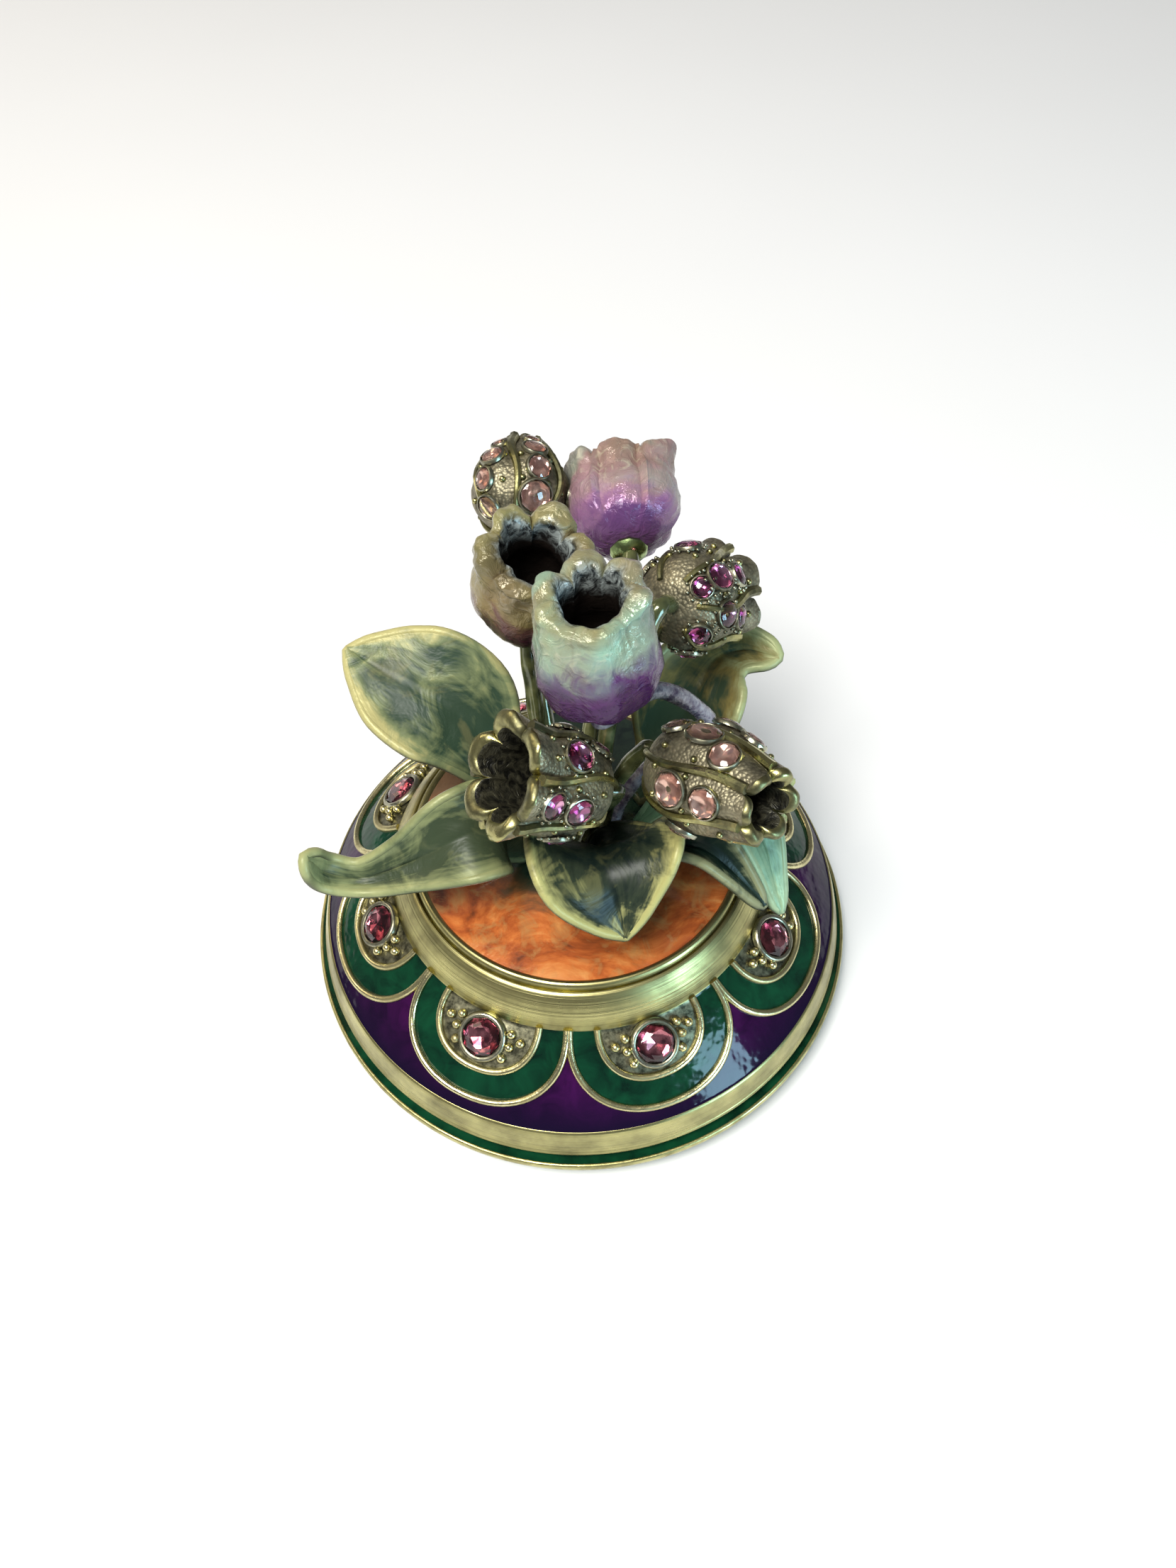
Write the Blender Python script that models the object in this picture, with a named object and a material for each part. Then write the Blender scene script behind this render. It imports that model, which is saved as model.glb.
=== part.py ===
"""Enamel trinket box: a round domed box whose lift-off lid carries a bouquet of tulips and leaves.

Metres, +Z up. The origin is the centre of the flat underside.
The camera of the photograph looks along +Y, from the front and above.
"""
import math

import bmesh
import bpy
from mathutils import Matrix, Vector

# The base dish, a shallow cast bowl with a flared foot rim and a locating lip for the lid.
RIM_RADIUS = 0.0320            # widest part of the foot rim
FOOT_RADIUS = 0.0262           # flat that the box stands on
FOOT_HEIGHT = 0.0030           # underside to the widest part of the rim
RIM_EDGE = 0.0009              # height of the upright edge of the rim
GROOVE_HEIGHT = 0.0005         # green enamelled groove between the rim and the lid's edge
GROOVE_DEPTH = 0.0015          # how far the groove lies inside the rim
WALL = 0.0016                  # wall of the base and of the lid
FLOOR = 0.0016                 # floor of the base
LIP_HEIGHT = 0.0013            # locating lip above the seam
LIP_WALL = 0.0011
FIT_GAP = 0.0003               # clearance between pieces that touch or slide together

# The lid, from its edge to the enamel disc in its middle.
LID_INSET = 0.00112            # how far the lid's edge lies inside the foot rim
LID_EDGE_HEIGHT = 0.0017       # upright edge of the lid, up to the gold rim band
RIM_BAND_WIDTH = 0.00088       # sloping gold band between the edge and the purple enamel
RIM_BAND_RISE = 0.0024
ENAMEL_RISE = 0.0072           # height that the scalloped enamel band climbs
ENAMEL_BULGE = 0.0004          # how far the enamel band swells above a straight cone
RING_RADIUS = 0.0214           # outer edge of the brass ring
RING_RISE = 0.0038             # height that the brass ring climbs
GROOVE_RADIUS = 0.0188         # turned groove at the top of the ring
BEAD_WIDTH = 0.0010            # thin round bead outside the disc
BEAD_RISE = 0.0006
DISC_CROWN = 0.0013            # rise of the orange enamel disc at its centre

# The scallops on the enamel band.
SCALLOPS = 8
SCALLOP_TURN = math.radians(17.5)
SCALLOP_REACH = 0.84           # share of the band's width that a scallop covers
LOBE_REACH = 0.56              # share of the band's width that the inner lobe covers
LOBE_SPREAD = 0.64             # half angle of the inner lobe as a share of the scallop's
SCALLOP_FULLNESS = 2.3         # exponent of the rounded arch
WIRE_WIDTH = 0.00065
WIRE_RISE = 0.00028
STEPS = 8                      # points along one scallop

# The crystal in each lobe.
CRYSTAL_RADIUS = 0.00215
CRYSTAL_HEIGHT = 0.00085
CRYSTAL_PLACE = 0.74           # crystal centre as a share of the way from band edge to ring
CRYSTAL_SIDES = 8

# The bouquet. Places and sizes of flowers, leaves and stems are shares of its height.
BOUQUET_HEIGHT = 0.0420
LIP_THICKNESS = 0.0015         # thick rounded lips of the tulips
LEAF_THICKNESS = 0.0011
LEAF_COLUMNS = 4
PETALS = 6
POINTS_PER_PETAL = 5
WAIST = 0.45                   # height of a tulip's widest part as a share of its length
LOBE_TIP = 0.11                # height of its rounded petal tips as a share of its length
UPRIGHT_MOUTH = 0.66           # mouth against girth at which the lips stand upright
LIP_FLARE = 0.9                # how fast the lips lean out as the mouth widens
ENAMEL_GIRTH = 0.131           # radius of an enamelled tulip
ENAMEL_LENGTH = 0.350
JEWEL_GIRTH = 0.121            # radius of a jewelled tulip
JEWEL_LENGTH = 0.345
STEM_GIRTH = 0.021             # radius of a stem
ROOT_CIRCLE = 0.075            # radius of the circle on which the stems stand

# Heights of the lid that follow from the values above.
SEAM_HEIGHT = FOOT_HEIGHT + RIM_EDGE + GROOVE_HEIGHT
LID_BOTTOM = SEAM_HEIGHT + FIT_GAP
LID_EDGE_TOP = LID_BOTTOM + LID_EDGE_HEIGHT
BAND_RADIUS = RIM_RADIUS - LID_INSET - RIM_BAND_WIDTH
BAND_BOTTOM = LID_EDGE_TOP + RIM_BAND_RISE
BAND_TOP = BAND_BOTTOM + ENAMEL_RISE
RING_TOP = BAND_TOP + RING_RISE
DISC_RADIUS = GROOVE_RADIUS - BEAD_WIDTH
DISC_TOP = RING_TOP + BEAD_RISE + DISC_CROWN


def make_material(name, colour, roughness, metallic):
    material = bpy.data.materials.new(name)
    material.use_nodes = True
    shader = material.node_tree.nodes["Principled BSDF"]
    shader.inputs["Base Color"].default_value = (*colour, 1.0)
    shader.inputs["Roughness"].default_value = roughness
    shader.inputs["Metallic"].default_value = metallic
    return material


def add_object(name, bm, material):
    """Turn a bmesh into a named object with faces pointing outwards."""
    bmesh.ops.remove_doubles(bm, verts=bm.verts, dist=1e-7)
    bmesh.ops.dissolve_degenerate(bm, edges=bm.edges, dist=1e-8)
    bmesh.ops.recalc_face_normals(bm, faces=bm.faces)
    mesh = bpy.data.meshes.new(name)
    bm.to_mesh(mesh)
    bm.free()
    mesh.shade_smooth()
    mesh.set_sharp_from_angle(angle=math.radians(40))
    mesh.materials.append(material)
    body = bpy.data.objects.new(name, mesh)
    bpy.context.collection.objects.link(body)
    return body


def skin_rows(bm, rows, place=Matrix.Identity(4)):
    """Join closed rows of points into a surface; a row of one point is a pole."""
    made = [[bm.verts.new(place @ point) for point in row] for row in rows]
    for lower, upper in zip(made, made[1:]):
        count = max(len(lower), len(upper))
        for index in range(count):
            after = (index + 1) % count
            if len(lower) == 1:
                bm.faces.new((lower[0], upper[after], upper[index]))
            elif len(upper) == 1:
                bm.faces.new((lower[index], lower[after], upper[0]))
            else:
                bm.faces.new((lower[index], lower[after], upper[after], upper[index]))


def circle_row(radius, height, count):
    angles = [2 * math.pi * index / count for index in range(count)]
    return [Vector((radius * math.cos(a), radius * math.sin(a), height)) for a in angles]


def smooth_path(points, steps):
    """Sample a Catmull-Rom curve through the points."""
    ends = [points[0] * 2 - points[1], *points, points[-1] * 2 - points[-2]]
    path = []
    for index in range(1, len(ends) - 2):
        before, start, stop, after = ends[index - 1:index + 3]
        for step in range(steps):
            t = step / steps
            path.append(0.5 * (2 * start + (stop - before) * t
                               + (2 * before - 5 * start + 4 * stop - after) * t ** 2
                               + (3 * start - before - 3 * stop + after) * t ** 3))
    path.append(points[-1])
    return path


def bouquet_point(share):
    """A place in the bouquet, given in shares of its height from the disc's centre."""
    return Vector(share) * BOUQUET_HEIGHT + Vector((0, 0, DISC_TOP))


def band_height(radius):
    """Height of the enamel band's surface at a distance from the axis."""
    climb = (BAND_RADIUS - radius) / (BAND_RADIUS - RING_RADIUS)
    return BAND_BOTTOM + ENAMEL_RISE * climb + ENAMEL_BULGE * 4 * climb * (1 - climb)


def build_base():
    """The dish: underside, flared rim, enamelled groove, seam, lip and hollow inside."""
    material = make_material("base_brass", (0.45, 0.40, 0.20), 0.35, 1.0)
    sides = SCALLOPS * 5
    wall_radius = RIM_RADIUS - GROOVE_DEPTH
    lip_radius = wall_radius - WALL
    inside_radius = lip_radius - LIP_WALL
    profile = [
        (FOOT_RADIUS, 0.0),
        (FOOT_RADIUS + 0.16 * (RIM_RADIUS - FOOT_RADIUS), FOOT_HEIGHT * 0.12),
        (FOOT_RADIUS + 0.78 * (RIM_RADIUS - FOOT_RADIUS), FOOT_HEIGHT * 0.60),
        (RIM_RADIUS, FOOT_HEIGHT),
        (RIM_RADIUS, FOOT_HEIGHT + RIM_EDGE),
        (wall_radius, FOOT_HEIGHT + RIM_EDGE * 1.1),
        (wall_radius, SEAM_HEIGHT),
        (lip_radius, SEAM_HEIGHT),
        (lip_radius, SEAM_HEIGHT + LIP_HEIGHT),
        (inside_radius, SEAM_HEIGHT + LIP_HEIGHT),
        (inside_radius, FOOT_HEIGHT),
        (FOOT_RADIUS, FLOOR),
    ]
    rows = [[Vector((0, 0, 0))]]
    rows += [circle_row(radius, height, sides) for radius, height in profile]
    rows.append([Vector((0, 0, FLOOR))])
    bm = bmesh.new()
    skin_rows(bm, rows)
    return add_object("base", bm, material)


def scallop_row(reach, spread, inset, rise):
    """A wavy row around the band: one rounded arch for each scallop."""
    half = math.pi / SCALLOPS * spread - inset / RING_RADIUS
    height = (BAND_RADIUS - RING_RADIUS) * reach - inset
    row = []
    for scallop in range(SCALLOPS):
        centre = SCALLOP_TURN + 2 * math.pi * scallop / SCALLOPS
        for step in range(STEPS + 1):
            turn = math.pi * step / STEPS
            across = -math.copysign(abs(math.cos(turn)) ** (2 / SCALLOP_FULLNESS), math.cos(turn))
            along = math.sin(turn) ** (2 / SCALLOP_FULLNESS) if 0 < step < STEPS else 0.0
            angle = centre + half * across
            radius = RING_RADIUS + WIRE_WIDTH * 0.5 + height * along
            row.append(Vector((radius * math.cos(angle), radius * math.sin(angle),
                               band_height(radius) + rise)))
    return row


def even_row(radius, height):
    """A round row whose points stand under the points of the scallop rows."""
    row = []
    for scallop in range(SCALLOPS):
        centre = SCALLOP_TURN + 2 * math.pi * scallop / SCALLOPS
        for step in range(STEPS + 1):
            angle = centre + math.pi / SCALLOPS * (2 * step / STEPS - 1)
            row.append(Vector((radius * math.cos(angle), radius * math.sin(angle), height)))
    return row


def swell_row():
    """A row halfway between the band's edge and the scallops, on the swelling surface."""
    row = []
    edge = even_row(BAND_RADIUS, BAND_BOTTOM)
    for outer, inner in zip(edge, scallop_row(SCALLOP_REACH, 1.0, 0.0, 0.0)):
        middle = outer.lerp(inner, 0.5)
        middle.z = band_height(math.hypot(middle.x, middle.y))
        row.append(middle)
    return row


def build_lid():
    """The domed lid: edge, gold band, scalloped enamel band, brass ring, bead and disc; hollow below."""
    material = make_material("lid_enamel", (0.16, 0.05, 0.25), 0.2, 0.3)
    edge_radius = RIM_RADIUS - LID_INSET
    inside_edge = RIM_RADIUS - GROOVE_DEPTH - WALL + 1.2 * FIT_GAP
    ring_slope_wall = WALL * 1.35
    rows = [
        even_row(inside_edge, LID_BOTTOM),
        even_row(edge_radius - 0.15 * RIM_BAND_WIDTH, LID_BOTTOM),
        even_row(edge_radius, LID_BOTTOM + 0.5 * LID_EDGE_HEIGHT),
        even_row(edge_radius - 0.1 * RIM_BAND_WIDTH, LID_EDGE_TOP),
        even_row(BAND_RADIUS, BAND_BOTTOM),
        swell_row(),
        scallop_row(SCALLOP_REACH, 1.0, 0.0, 0.0),
        scallop_row(SCALLOP_REACH, 1.0, WIRE_WIDTH * 0.5, WIRE_RISE),
        scallop_row(SCALLOP_REACH, 1.0, WIRE_WIDTH, 0.0),
        scallop_row(LOBE_REACH, LOBE_SPREAD, 0.0, 0.0),
        scallop_row(LOBE_REACH, LOBE_SPREAD, WIRE_WIDTH * 0.5, WIRE_RISE),
        scallop_row(LOBE_REACH, LOBE_SPREAD, WIRE_WIDTH, 0.0),
        even_row(RING_RADIUS, BAND_TOP),
        even_row(RING_RADIUS - 0.38 * (RING_RADIUS - GROOVE_RADIUS), BAND_TOP + 0.58 * RING_RISE),
        even_row(GROOVE_RADIUS + 0.15 * (RING_RADIUS - GROOVE_RADIUS), RING_TOP),
        even_row(GROOVE_RADIUS, RING_TOP - 0.4 * BEAD_RISE),
        even_row(DISC_RADIUS + 0.4 * BEAD_WIDTH, RING_TOP + BEAD_RISE),
        even_row(DISC_RADIUS, RING_TOP + 0.7 * BEAD_RISE),
        even_row(DISC_RADIUS * 0.5, RING_TOP + BEAD_RISE + 0.75 * DISC_CROWN),
        [Vector((0, 0, DISC_TOP))],
        even_row(GROOVE_RADIUS - WALL, RING_TOP - WALL),
        even_row(RING_RADIUS - WALL, BAND_TOP - ring_slope_wall),
        even_row(inside_edge, BAND_BOTTOM - 0.3 * WALL),
    ]
    outer = rows[:20]
    inner = [[Vector((0, 0, RING_TOP + DISC_CROWN - WALL))], *rows[20:], rows[0]]
    bm = bmesh.new()
    skin_rows(bm, outer)
    skin_rows(bm, inner)
    return add_object("lid", bm, material)


def build_crystal(number):
    """One round faceted stone on the slope of the band."""
    material = make_material("rose_crystal", (0.55, 0.12, 0.30), 0.05, 0.0)
    angle = SCALLOP_TURN + 2 * math.pi * number / SCALLOPS
    radius = BAND_RADIUS + CRYSTAL_PLACE * (RING_RADIUS - BAND_RADIUS)
    slope = math.atan2(band_height(radius - WALL) - band_height(radius + WALL), 2 * WALL)
    lift = FIT_GAP + WIRE_RISE * 0.2
    place = (Matrix.Rotation(angle, 4, "Z")
             @ Matrix.Translation((radius, 0, band_height(radius)))
             @ Matrix.Rotation(slope, 4, "Y")
             @ Matrix.Translation((0, 0, lift)))
    rows = [
        [Vector((0, 0, 0))],
        circle_row(CRYSTAL_RADIUS * 0.93, 0.0, CRYSTAL_SIDES),
        circle_row(CRYSTAL_RADIUS, CRYSTAL_HEIGHT * 0.35, CRYSTAL_SIDES),
        circle_row(CRYSTAL_RADIUS * 0.58, CRYSTAL_HEIGHT, CRYSTAL_SIDES),
        [Vector((0, 0, CRYSTAL_HEIGHT))],
    ]
    bm = bmesh.new()
    skin_rows(bm, rows, place)
    return add_object(f"lobe_crystal_{number + 1}", bm, material)


def flower_frame(centre, axis, turn, waist):
    """Places a flower so that its widest part lies at centre and its mouth faces along axis."""
    axis = Vector(axis).normalized()
    upright = axis.to_track_quat("Z", "Y").to_matrix().to_4x4()
    return (Matrix.Translation(bouquet_point(centre) - axis * waist) @ upright
            @ Matrix.Rotation(math.radians(turn), 4, "Z"))


def petal_row(radius, height, relief, flare, lift):
    """One row of a tulip: each petal is fullest at its middle and meets the next in a crease."""
    count = PETALS * POINTS_PER_PETAL
    row = []
    for index in range(count):
        angle = 2 * math.pi * (index + 0.5) / count
        off = (angle * PETALS / math.pi + 1) % 2 - 1
        petal = max(0.0, 1 - off ** 2) ** 0.5
        reach = radius * (1 + relief * (petal - 0.5)) + flare * petal
        row.append(Vector((reach * math.cos(angle), reach * math.sin(angle), height + lift * petal)))
    return row


def build_tulip(name, centre, axis, turn, jewelled, stretch, mouth, material):
    """A hollow tulip of six petals whose rounded tips stand around the mouth."""
    girth = (JEWEL_GIRTH if jewelled else ENAMEL_GIRTH) * BOUQUET_HEIGHT
    length = (JEWEL_LENGTH if jewelled else ENAMEL_LENGTH) * BOUQUET_HEIGHT * stretch
    waist = WAIST * length
    lobe = LOBE_TIP * length
    relief = 0.10 if jewelled else 0.06
    neck = girth * mouth
    flare = LIP_FLARE * (mouth - UPRIGHT_MOUTH) * girth
    hole = neck - LIP_THICKNESS
    rows = [
        [Vector((0, 0, 0))],
        petal_row(girth * 0.52, length * 0.045, 0.0, 0.0, 0.0),
        petal_row(girth * 0.87, length * 0.19, relief * 0.5, 0.0, 0.0),
        petal_row(girth, waist, relief, 0.0, 0.0),
        petal_row(girth * 0.55 + neck * 0.45, length * 0.70, relief, 0.0, 0.0),
        petal_row(neck, length * 0.86, relief, flare, lobe * 0.7),
        petal_row(neck - 0.4 * LIP_THICKNESS, length * 0.88, relief, flare * 0.8, lobe),
        petal_row(hole, length * 0.84, relief, min(flare * 0.6, flare * 1.1), lobe * 0.7),
        petal_row(girth * 0.70, waist, 0.0, 0.0, 0.0),
        petal_row(girth * 0.45, length * 0.20, 0.0, 0.0, 0.0),
        [Vector((0, 0, length * 0.16))],
    ]
    bm = bmesh.new()
    skin_rows(bm, rows, flower_frame(centre, axis, turn, waist))
    return add_object(name, bm, material)


def tulip_base(centre, axis, jewelled, stretch):
    length = (JEWEL_LENGTH if jewelled else ENAMEL_LENGTH) * BOUQUET_HEIGHT * stretch
    return bouquet_point(centre) - Vector(axis).normalized() * WAIST * length


def build_stem(name, root_turn, ways, centre, axis, jewelled, stretch, material):
    """A round stem from the disc to just under a flower, passing its ways."""
    girth = STEM_GIRTH * BOUQUET_HEIGHT
    root = Vector((math.cos(math.radians(root_turn)), math.sin(math.radians(root_turn)), 0.0))
    start = root * ROOT_CIRCLE * BOUQUET_HEIGHT + Vector((0, 0, DISC_TOP + 2 * FIT_GAP))
    foot = tulip_base(centre, axis, jewelled, stretch)
    direction = Vector(axis).normalized()
    stop = foot - direction * FIT_GAP * 1.8
    before = foot - direction * girth * 2.5
    path = smooth_path([start, *[bouquet_point(way) for way in ways], before, stop], 2)
    curve = bpy.data.curves.new(name, "CURVE")
    curve.dimensions = "3D"
    curve.bevel_depth = girth
    curve.bevel_resolution = 1
    curve.use_fill_caps = True
    spline = curve.splines.new("POLY")
    spline.points.add(len(path) - 1)
    for point, place in zip(spline.points, path):
        point.co = (*place, 1.0)
    curve.materials.append(material)
    body = bpy.data.objects.new(name, curve)
    bpy.context.collection.objects.link(body)
    return body


def build_leaf(name, spine, widths, face, cup, material):
    """A thin cupped leaf: a sheet swept along its spine, as wide as widths say, then thickened."""
    middles = smooth_path([bouquet_point(point) for point in spine], 2)
    halves = smooth_path([Vector((width, 0, 0)) * BOUQUET_HEIGHT for width in widths], 2)
    bm = bmesh.new()
    grid = []
    for index, (middle, half) in enumerate(zip(middles, halves)):
        share = index / (len(middles) - 1)
        forward = (middles[min(index + 1, len(middles) - 1)] - middles[max(index - 1, 0)]).normalized()
        side = forward.cross(Vector(face[0]).lerp(Vector(face[1]), share)).normalized()
        normal = side.cross(forward)
        line = []
        for column in range(LEAF_COLUMNS + 1):
            offset = 2 * column / LEAF_COLUMNS - 1
            reach = half.x * offset
            line.append(bm.verts.new(middle + side * reach + normal * cup * half.x * offset ** 2))
        grid.append(line)
    for lower, upper in zip(grid, grid[1:]):
        for column in range(LEAF_COLUMNS):
            bm.faces.new((lower[column], lower[column + 1], upper[column + 1], upper[column]))
    body = add_object(name, bm, material)
    thick = body.modifiers.new("thickness", "SOLIDIFY")
    thick.thickness = LEAF_THICKNESS
    thick.offset = 0.0
    return body


for old in list(bpy.data.objects):
    bpy.data.objects.remove(old)

build_base()
build_lid()
for crystal in range(SCALLOPS):
    build_crystal(crystal)

enamel = make_material("tulip_enamel", (0.45, 0.48, 0.42), 0.25, 0.2)
jewel = make_material("tulip_antique_brass", (0.25, 0.21, 0.12), 0.4, 0.9)
stalk = make_material("stem_enamel", (0.22, 0.24, 0.10), 0.3, 0.3)
leaf_green = make_material("leaf_enamel", (0.25, 0.32, 0.15), 0.25, 0.4)

# Each tulip: name, widest part, direction of its mouth, turn about it, jewelled, length against
# its kind's, mouth against its girth, place of its root on the circle, and the ways of its stem.
TULIPS = [
    ("bud_back_left", (-0.106, 0.583, 0.645), (0.03, 0.97, 0.21), 54, True, 0.74, 0.55, 110,
     [(-0.07, 0.20, 0.22), (-0.09, 0.36, 0.52)]),
    ("tulip_back_right", (0.150, 0.526, 0.614), (-0.02, 0.985, 0.156), 0, False, 0.70, 0.76, 72,
     [(0.045, 0.17, 0.22), (0.115, 0.30, 0.50)]),
    ("tulip_upper_left", (-0.080, 0.167, 0.726), (0.123, -0.176, 0.977), 30, False, 0.78, 0.82, 148,
     [(-0.085, 0.105, 0.22), (-0.095, 0.145, 0.44)]),
    ("tulip_centre", (0.052, -0.107, 0.806), (-0.058, 0.074, 0.996), 30, False, 0.94, 0.78, 355,
     [(0.14, 0.02, 0.16), (0.28, 0.035, 0.33), (0.315, 0.02, 0.42), (0.191, -0.024, 0.582)]),
    ("tulip_right", (0.287, 0.230, 0.600), (0.53, 0.65, -0.54), 7, True, 0.68, 0.78, 34,
     [(0.09, 0.12, 0.30), (0.16, 0.09, 0.60)]),
    ("tulip_lower_left", (-0.045, -0.181, 0.462), (-0.764, -0.242, 0.599), 22, True, 0.84, 0.95, 262,
     [(0.035, -0.10, 0.20)]),
    ("tulip_lower_right", (0.290, -0.219, 0.505), (0.629, -0.689, 0.36), 34, True, 1.0, 0.70, 310,
     [(0.085, -0.07, 0.26)]),
]
for name, centre, axis, turn, jewelled, stretch, mouth, root_turn, ways in TULIPS:
    build_tulip(name, centre, axis, turn, jewelled, stretch, mouth, jewel if jewelled else enamel)
    build_stem("stem_of_" + name, root_turn, ways, centre, axis, jewelled, stretch, stalk)

# Each leaf: name, spine, half width at each point, where its face looks at root and tip, and cup.
LEAVES = [
    ("leaf_back_left", [(-0.14, 0.03, 0.02), (-0.20, 0.05, 0.23), (-0.285, 0.12, 0.36),
                        (-0.42, 0.185, 0.415), (-0.545, 0.26, 0.44)],
     [0.03, 0.07, 0.148, 0.13, 0.02], [(0.3, -0.6, 0.75), (0.2, -0.6, 0.8)], 0.15),
    ("leaf_front_left", [(-0.13, -0.07, 0.02), (-0.18, -0.11, 0.18), (-0.27, -0.165, 0.235),
                         (-0.41, -0.19, 0.17), (-0.53, -0.20, 0.125), (-0.615, -0.203, 0.16),
                         (-0.645, -0.219, 0.25)],
     [0.03, 0.10, 0.105, 0.062, 0.038, 0.038, 0.028], [(0.0, -0.5, 0.85), (0.5, -0.4, 0.7)], 0.25),
    ("leaf_front", [(0.0, -0.16, 0.02), (0.045, -0.175, 0.13), (0.055, -0.225, 0.245),
                    (0.065, -0.31, 0.26), (0.100, -0.407, 0.152)],
     [0.035, 0.10, 0.165, 0.155, 0.02], [(0.0, 0.2, 1.0), (0.1, -0.6, 0.7)], 0.35),
    ("leaf_front_right", [(0.12, -0.13, 0.02), (0.21, -0.165, 0.15), (0.315, -0.20, 0.165),
                          (0.45, -0.275, 0.035)],
     [0.02, 0.05, 0.05, 0.012], [(-0.2, 0.2, 1.0), (0.3, -0.3, 0.9)], 0.7),
    ("leaf_right", [(0.16, -0.02, 0.02), (0.29, -0.015, 0.175), (0.43, -0.12, 0.16),
                    (0.503, -0.262, -0.02)],
     [0.02, 0.05, 0.06, 0.015], [(0.2, 0.1, 1.0), (0.5, -0.7, 0.4)], 0.2),
    ("leaf_back_right", [(0.16, 0.09, 0.02), (0.25, 0.12, 0.14), (0.30, 0.18, 0.28),
                         (0.36, 0.25, 0.35), (0.43, 0.27, 0.37), (0.52, 0.24, 0.375)],
     [0.03, 0.09, 0.13, 0.10, 0.06, 0.025], [(-0.3, -0.5, 0.8), (-0.2, -0.5, 0.9)], 0.3),
]
for name, spine, widths, face, cup in LEAVES:
    build_leaf(name, spine, widths, face, cup, leaf_green)
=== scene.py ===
import math

import bmesh
import bpy
from mathutils import Matrix, Vector, noise


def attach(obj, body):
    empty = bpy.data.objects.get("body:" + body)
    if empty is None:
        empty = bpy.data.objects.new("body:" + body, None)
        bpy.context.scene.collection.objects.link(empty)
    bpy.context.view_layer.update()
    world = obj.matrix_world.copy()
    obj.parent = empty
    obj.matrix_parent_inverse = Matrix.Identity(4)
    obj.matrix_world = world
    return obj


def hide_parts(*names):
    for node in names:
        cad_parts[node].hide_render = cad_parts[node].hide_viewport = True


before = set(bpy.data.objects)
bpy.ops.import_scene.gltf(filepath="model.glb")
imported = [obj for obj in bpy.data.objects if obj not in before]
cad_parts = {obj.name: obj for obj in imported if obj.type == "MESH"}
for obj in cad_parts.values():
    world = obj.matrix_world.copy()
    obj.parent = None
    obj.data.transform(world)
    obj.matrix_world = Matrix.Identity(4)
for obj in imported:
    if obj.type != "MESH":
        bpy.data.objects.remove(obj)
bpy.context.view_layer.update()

# Base dish: a shallow cast pewter bowl plated in antiqued brass, with a flared foot rim.
# The ledge under the seam is filled with dark green enamel, and an inner lip keeps the lid in place.
MM = 0.001
DISH_TURNS = 192
DISH_PROFILE = [(0, 0), (26.2, 0), (26.6, 0.12), (27.13, 0.36), (30.72, 1.8), (31.5, 2.3), (31.9, 2.75),
                (32.0, 3.1), (32.0, 3.6), (31.9, 3.86), (31.72, 3.95), (31.58, 3.9), (31.5, 3.84),
                (30.5, 3.92), (30.5, 4.4), (28.9, 4.4), (28.9, 5.55), (28.75, 5.7), (27.95, 5.7),
                (27.8, 5.55), (27.8, 3.2), (27.5, 2.5), (26.2, 1.7), (25.0, 1.6), (0, 1.6)]
ENAMEL_LEDGE = (31.55, 30.4, 3.8, 4.41)     # widest and narrowest radius, lowest and highest point
MERGE = 1e-6


def turned(bm, stations, turns, shape):
    """Spins a line of points once round, then moves every point to shape(station, angle, vert)."""
    line = [bm.verts.new((1.0, 0.0, station)) for station in range(stations)]
    edges = [bm.edges.new(pair) for pair in zip(line, line[1:])]
    bmesh.ops.spin(bm, geom=line + edges, cent=(0, 0, 0), axis=(0, 0, 1), angle=2 * math.pi,
                   steps=turns, use_merge=True)
    for vert in bm.verts:
        vert.co = shape(round(vert.co.z), math.atan2(vert.co.y, vert.co.x), vert)


def finished(bm, name, materials, replaced=(), sharp=50):
    """Closes seams and poles, points the faces outwards and makes the piece ride on the box."""
    bmesh.ops.remove_doubles(bm, verts=bm.verts, dist=MERGE)
    bmesh.ops.recalc_face_normals(bm, faces=bm.faces)
    mesh = bpy.data.meshes.new(name)
    bm.to_mesh(mesh)
    bm.free()
    mesh.shade_smooth()
    mesh.set_sharp_from_angle(angle=math.radians(sharp))
    for material in materials:
        mesh.materials.append(material)
    piece = bpy.data.objects.new(name, mesh)
    bpy.context.collection.objects.link(piece)
    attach(piece, "root")
    if replaced:
        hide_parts(*replaced)


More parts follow.
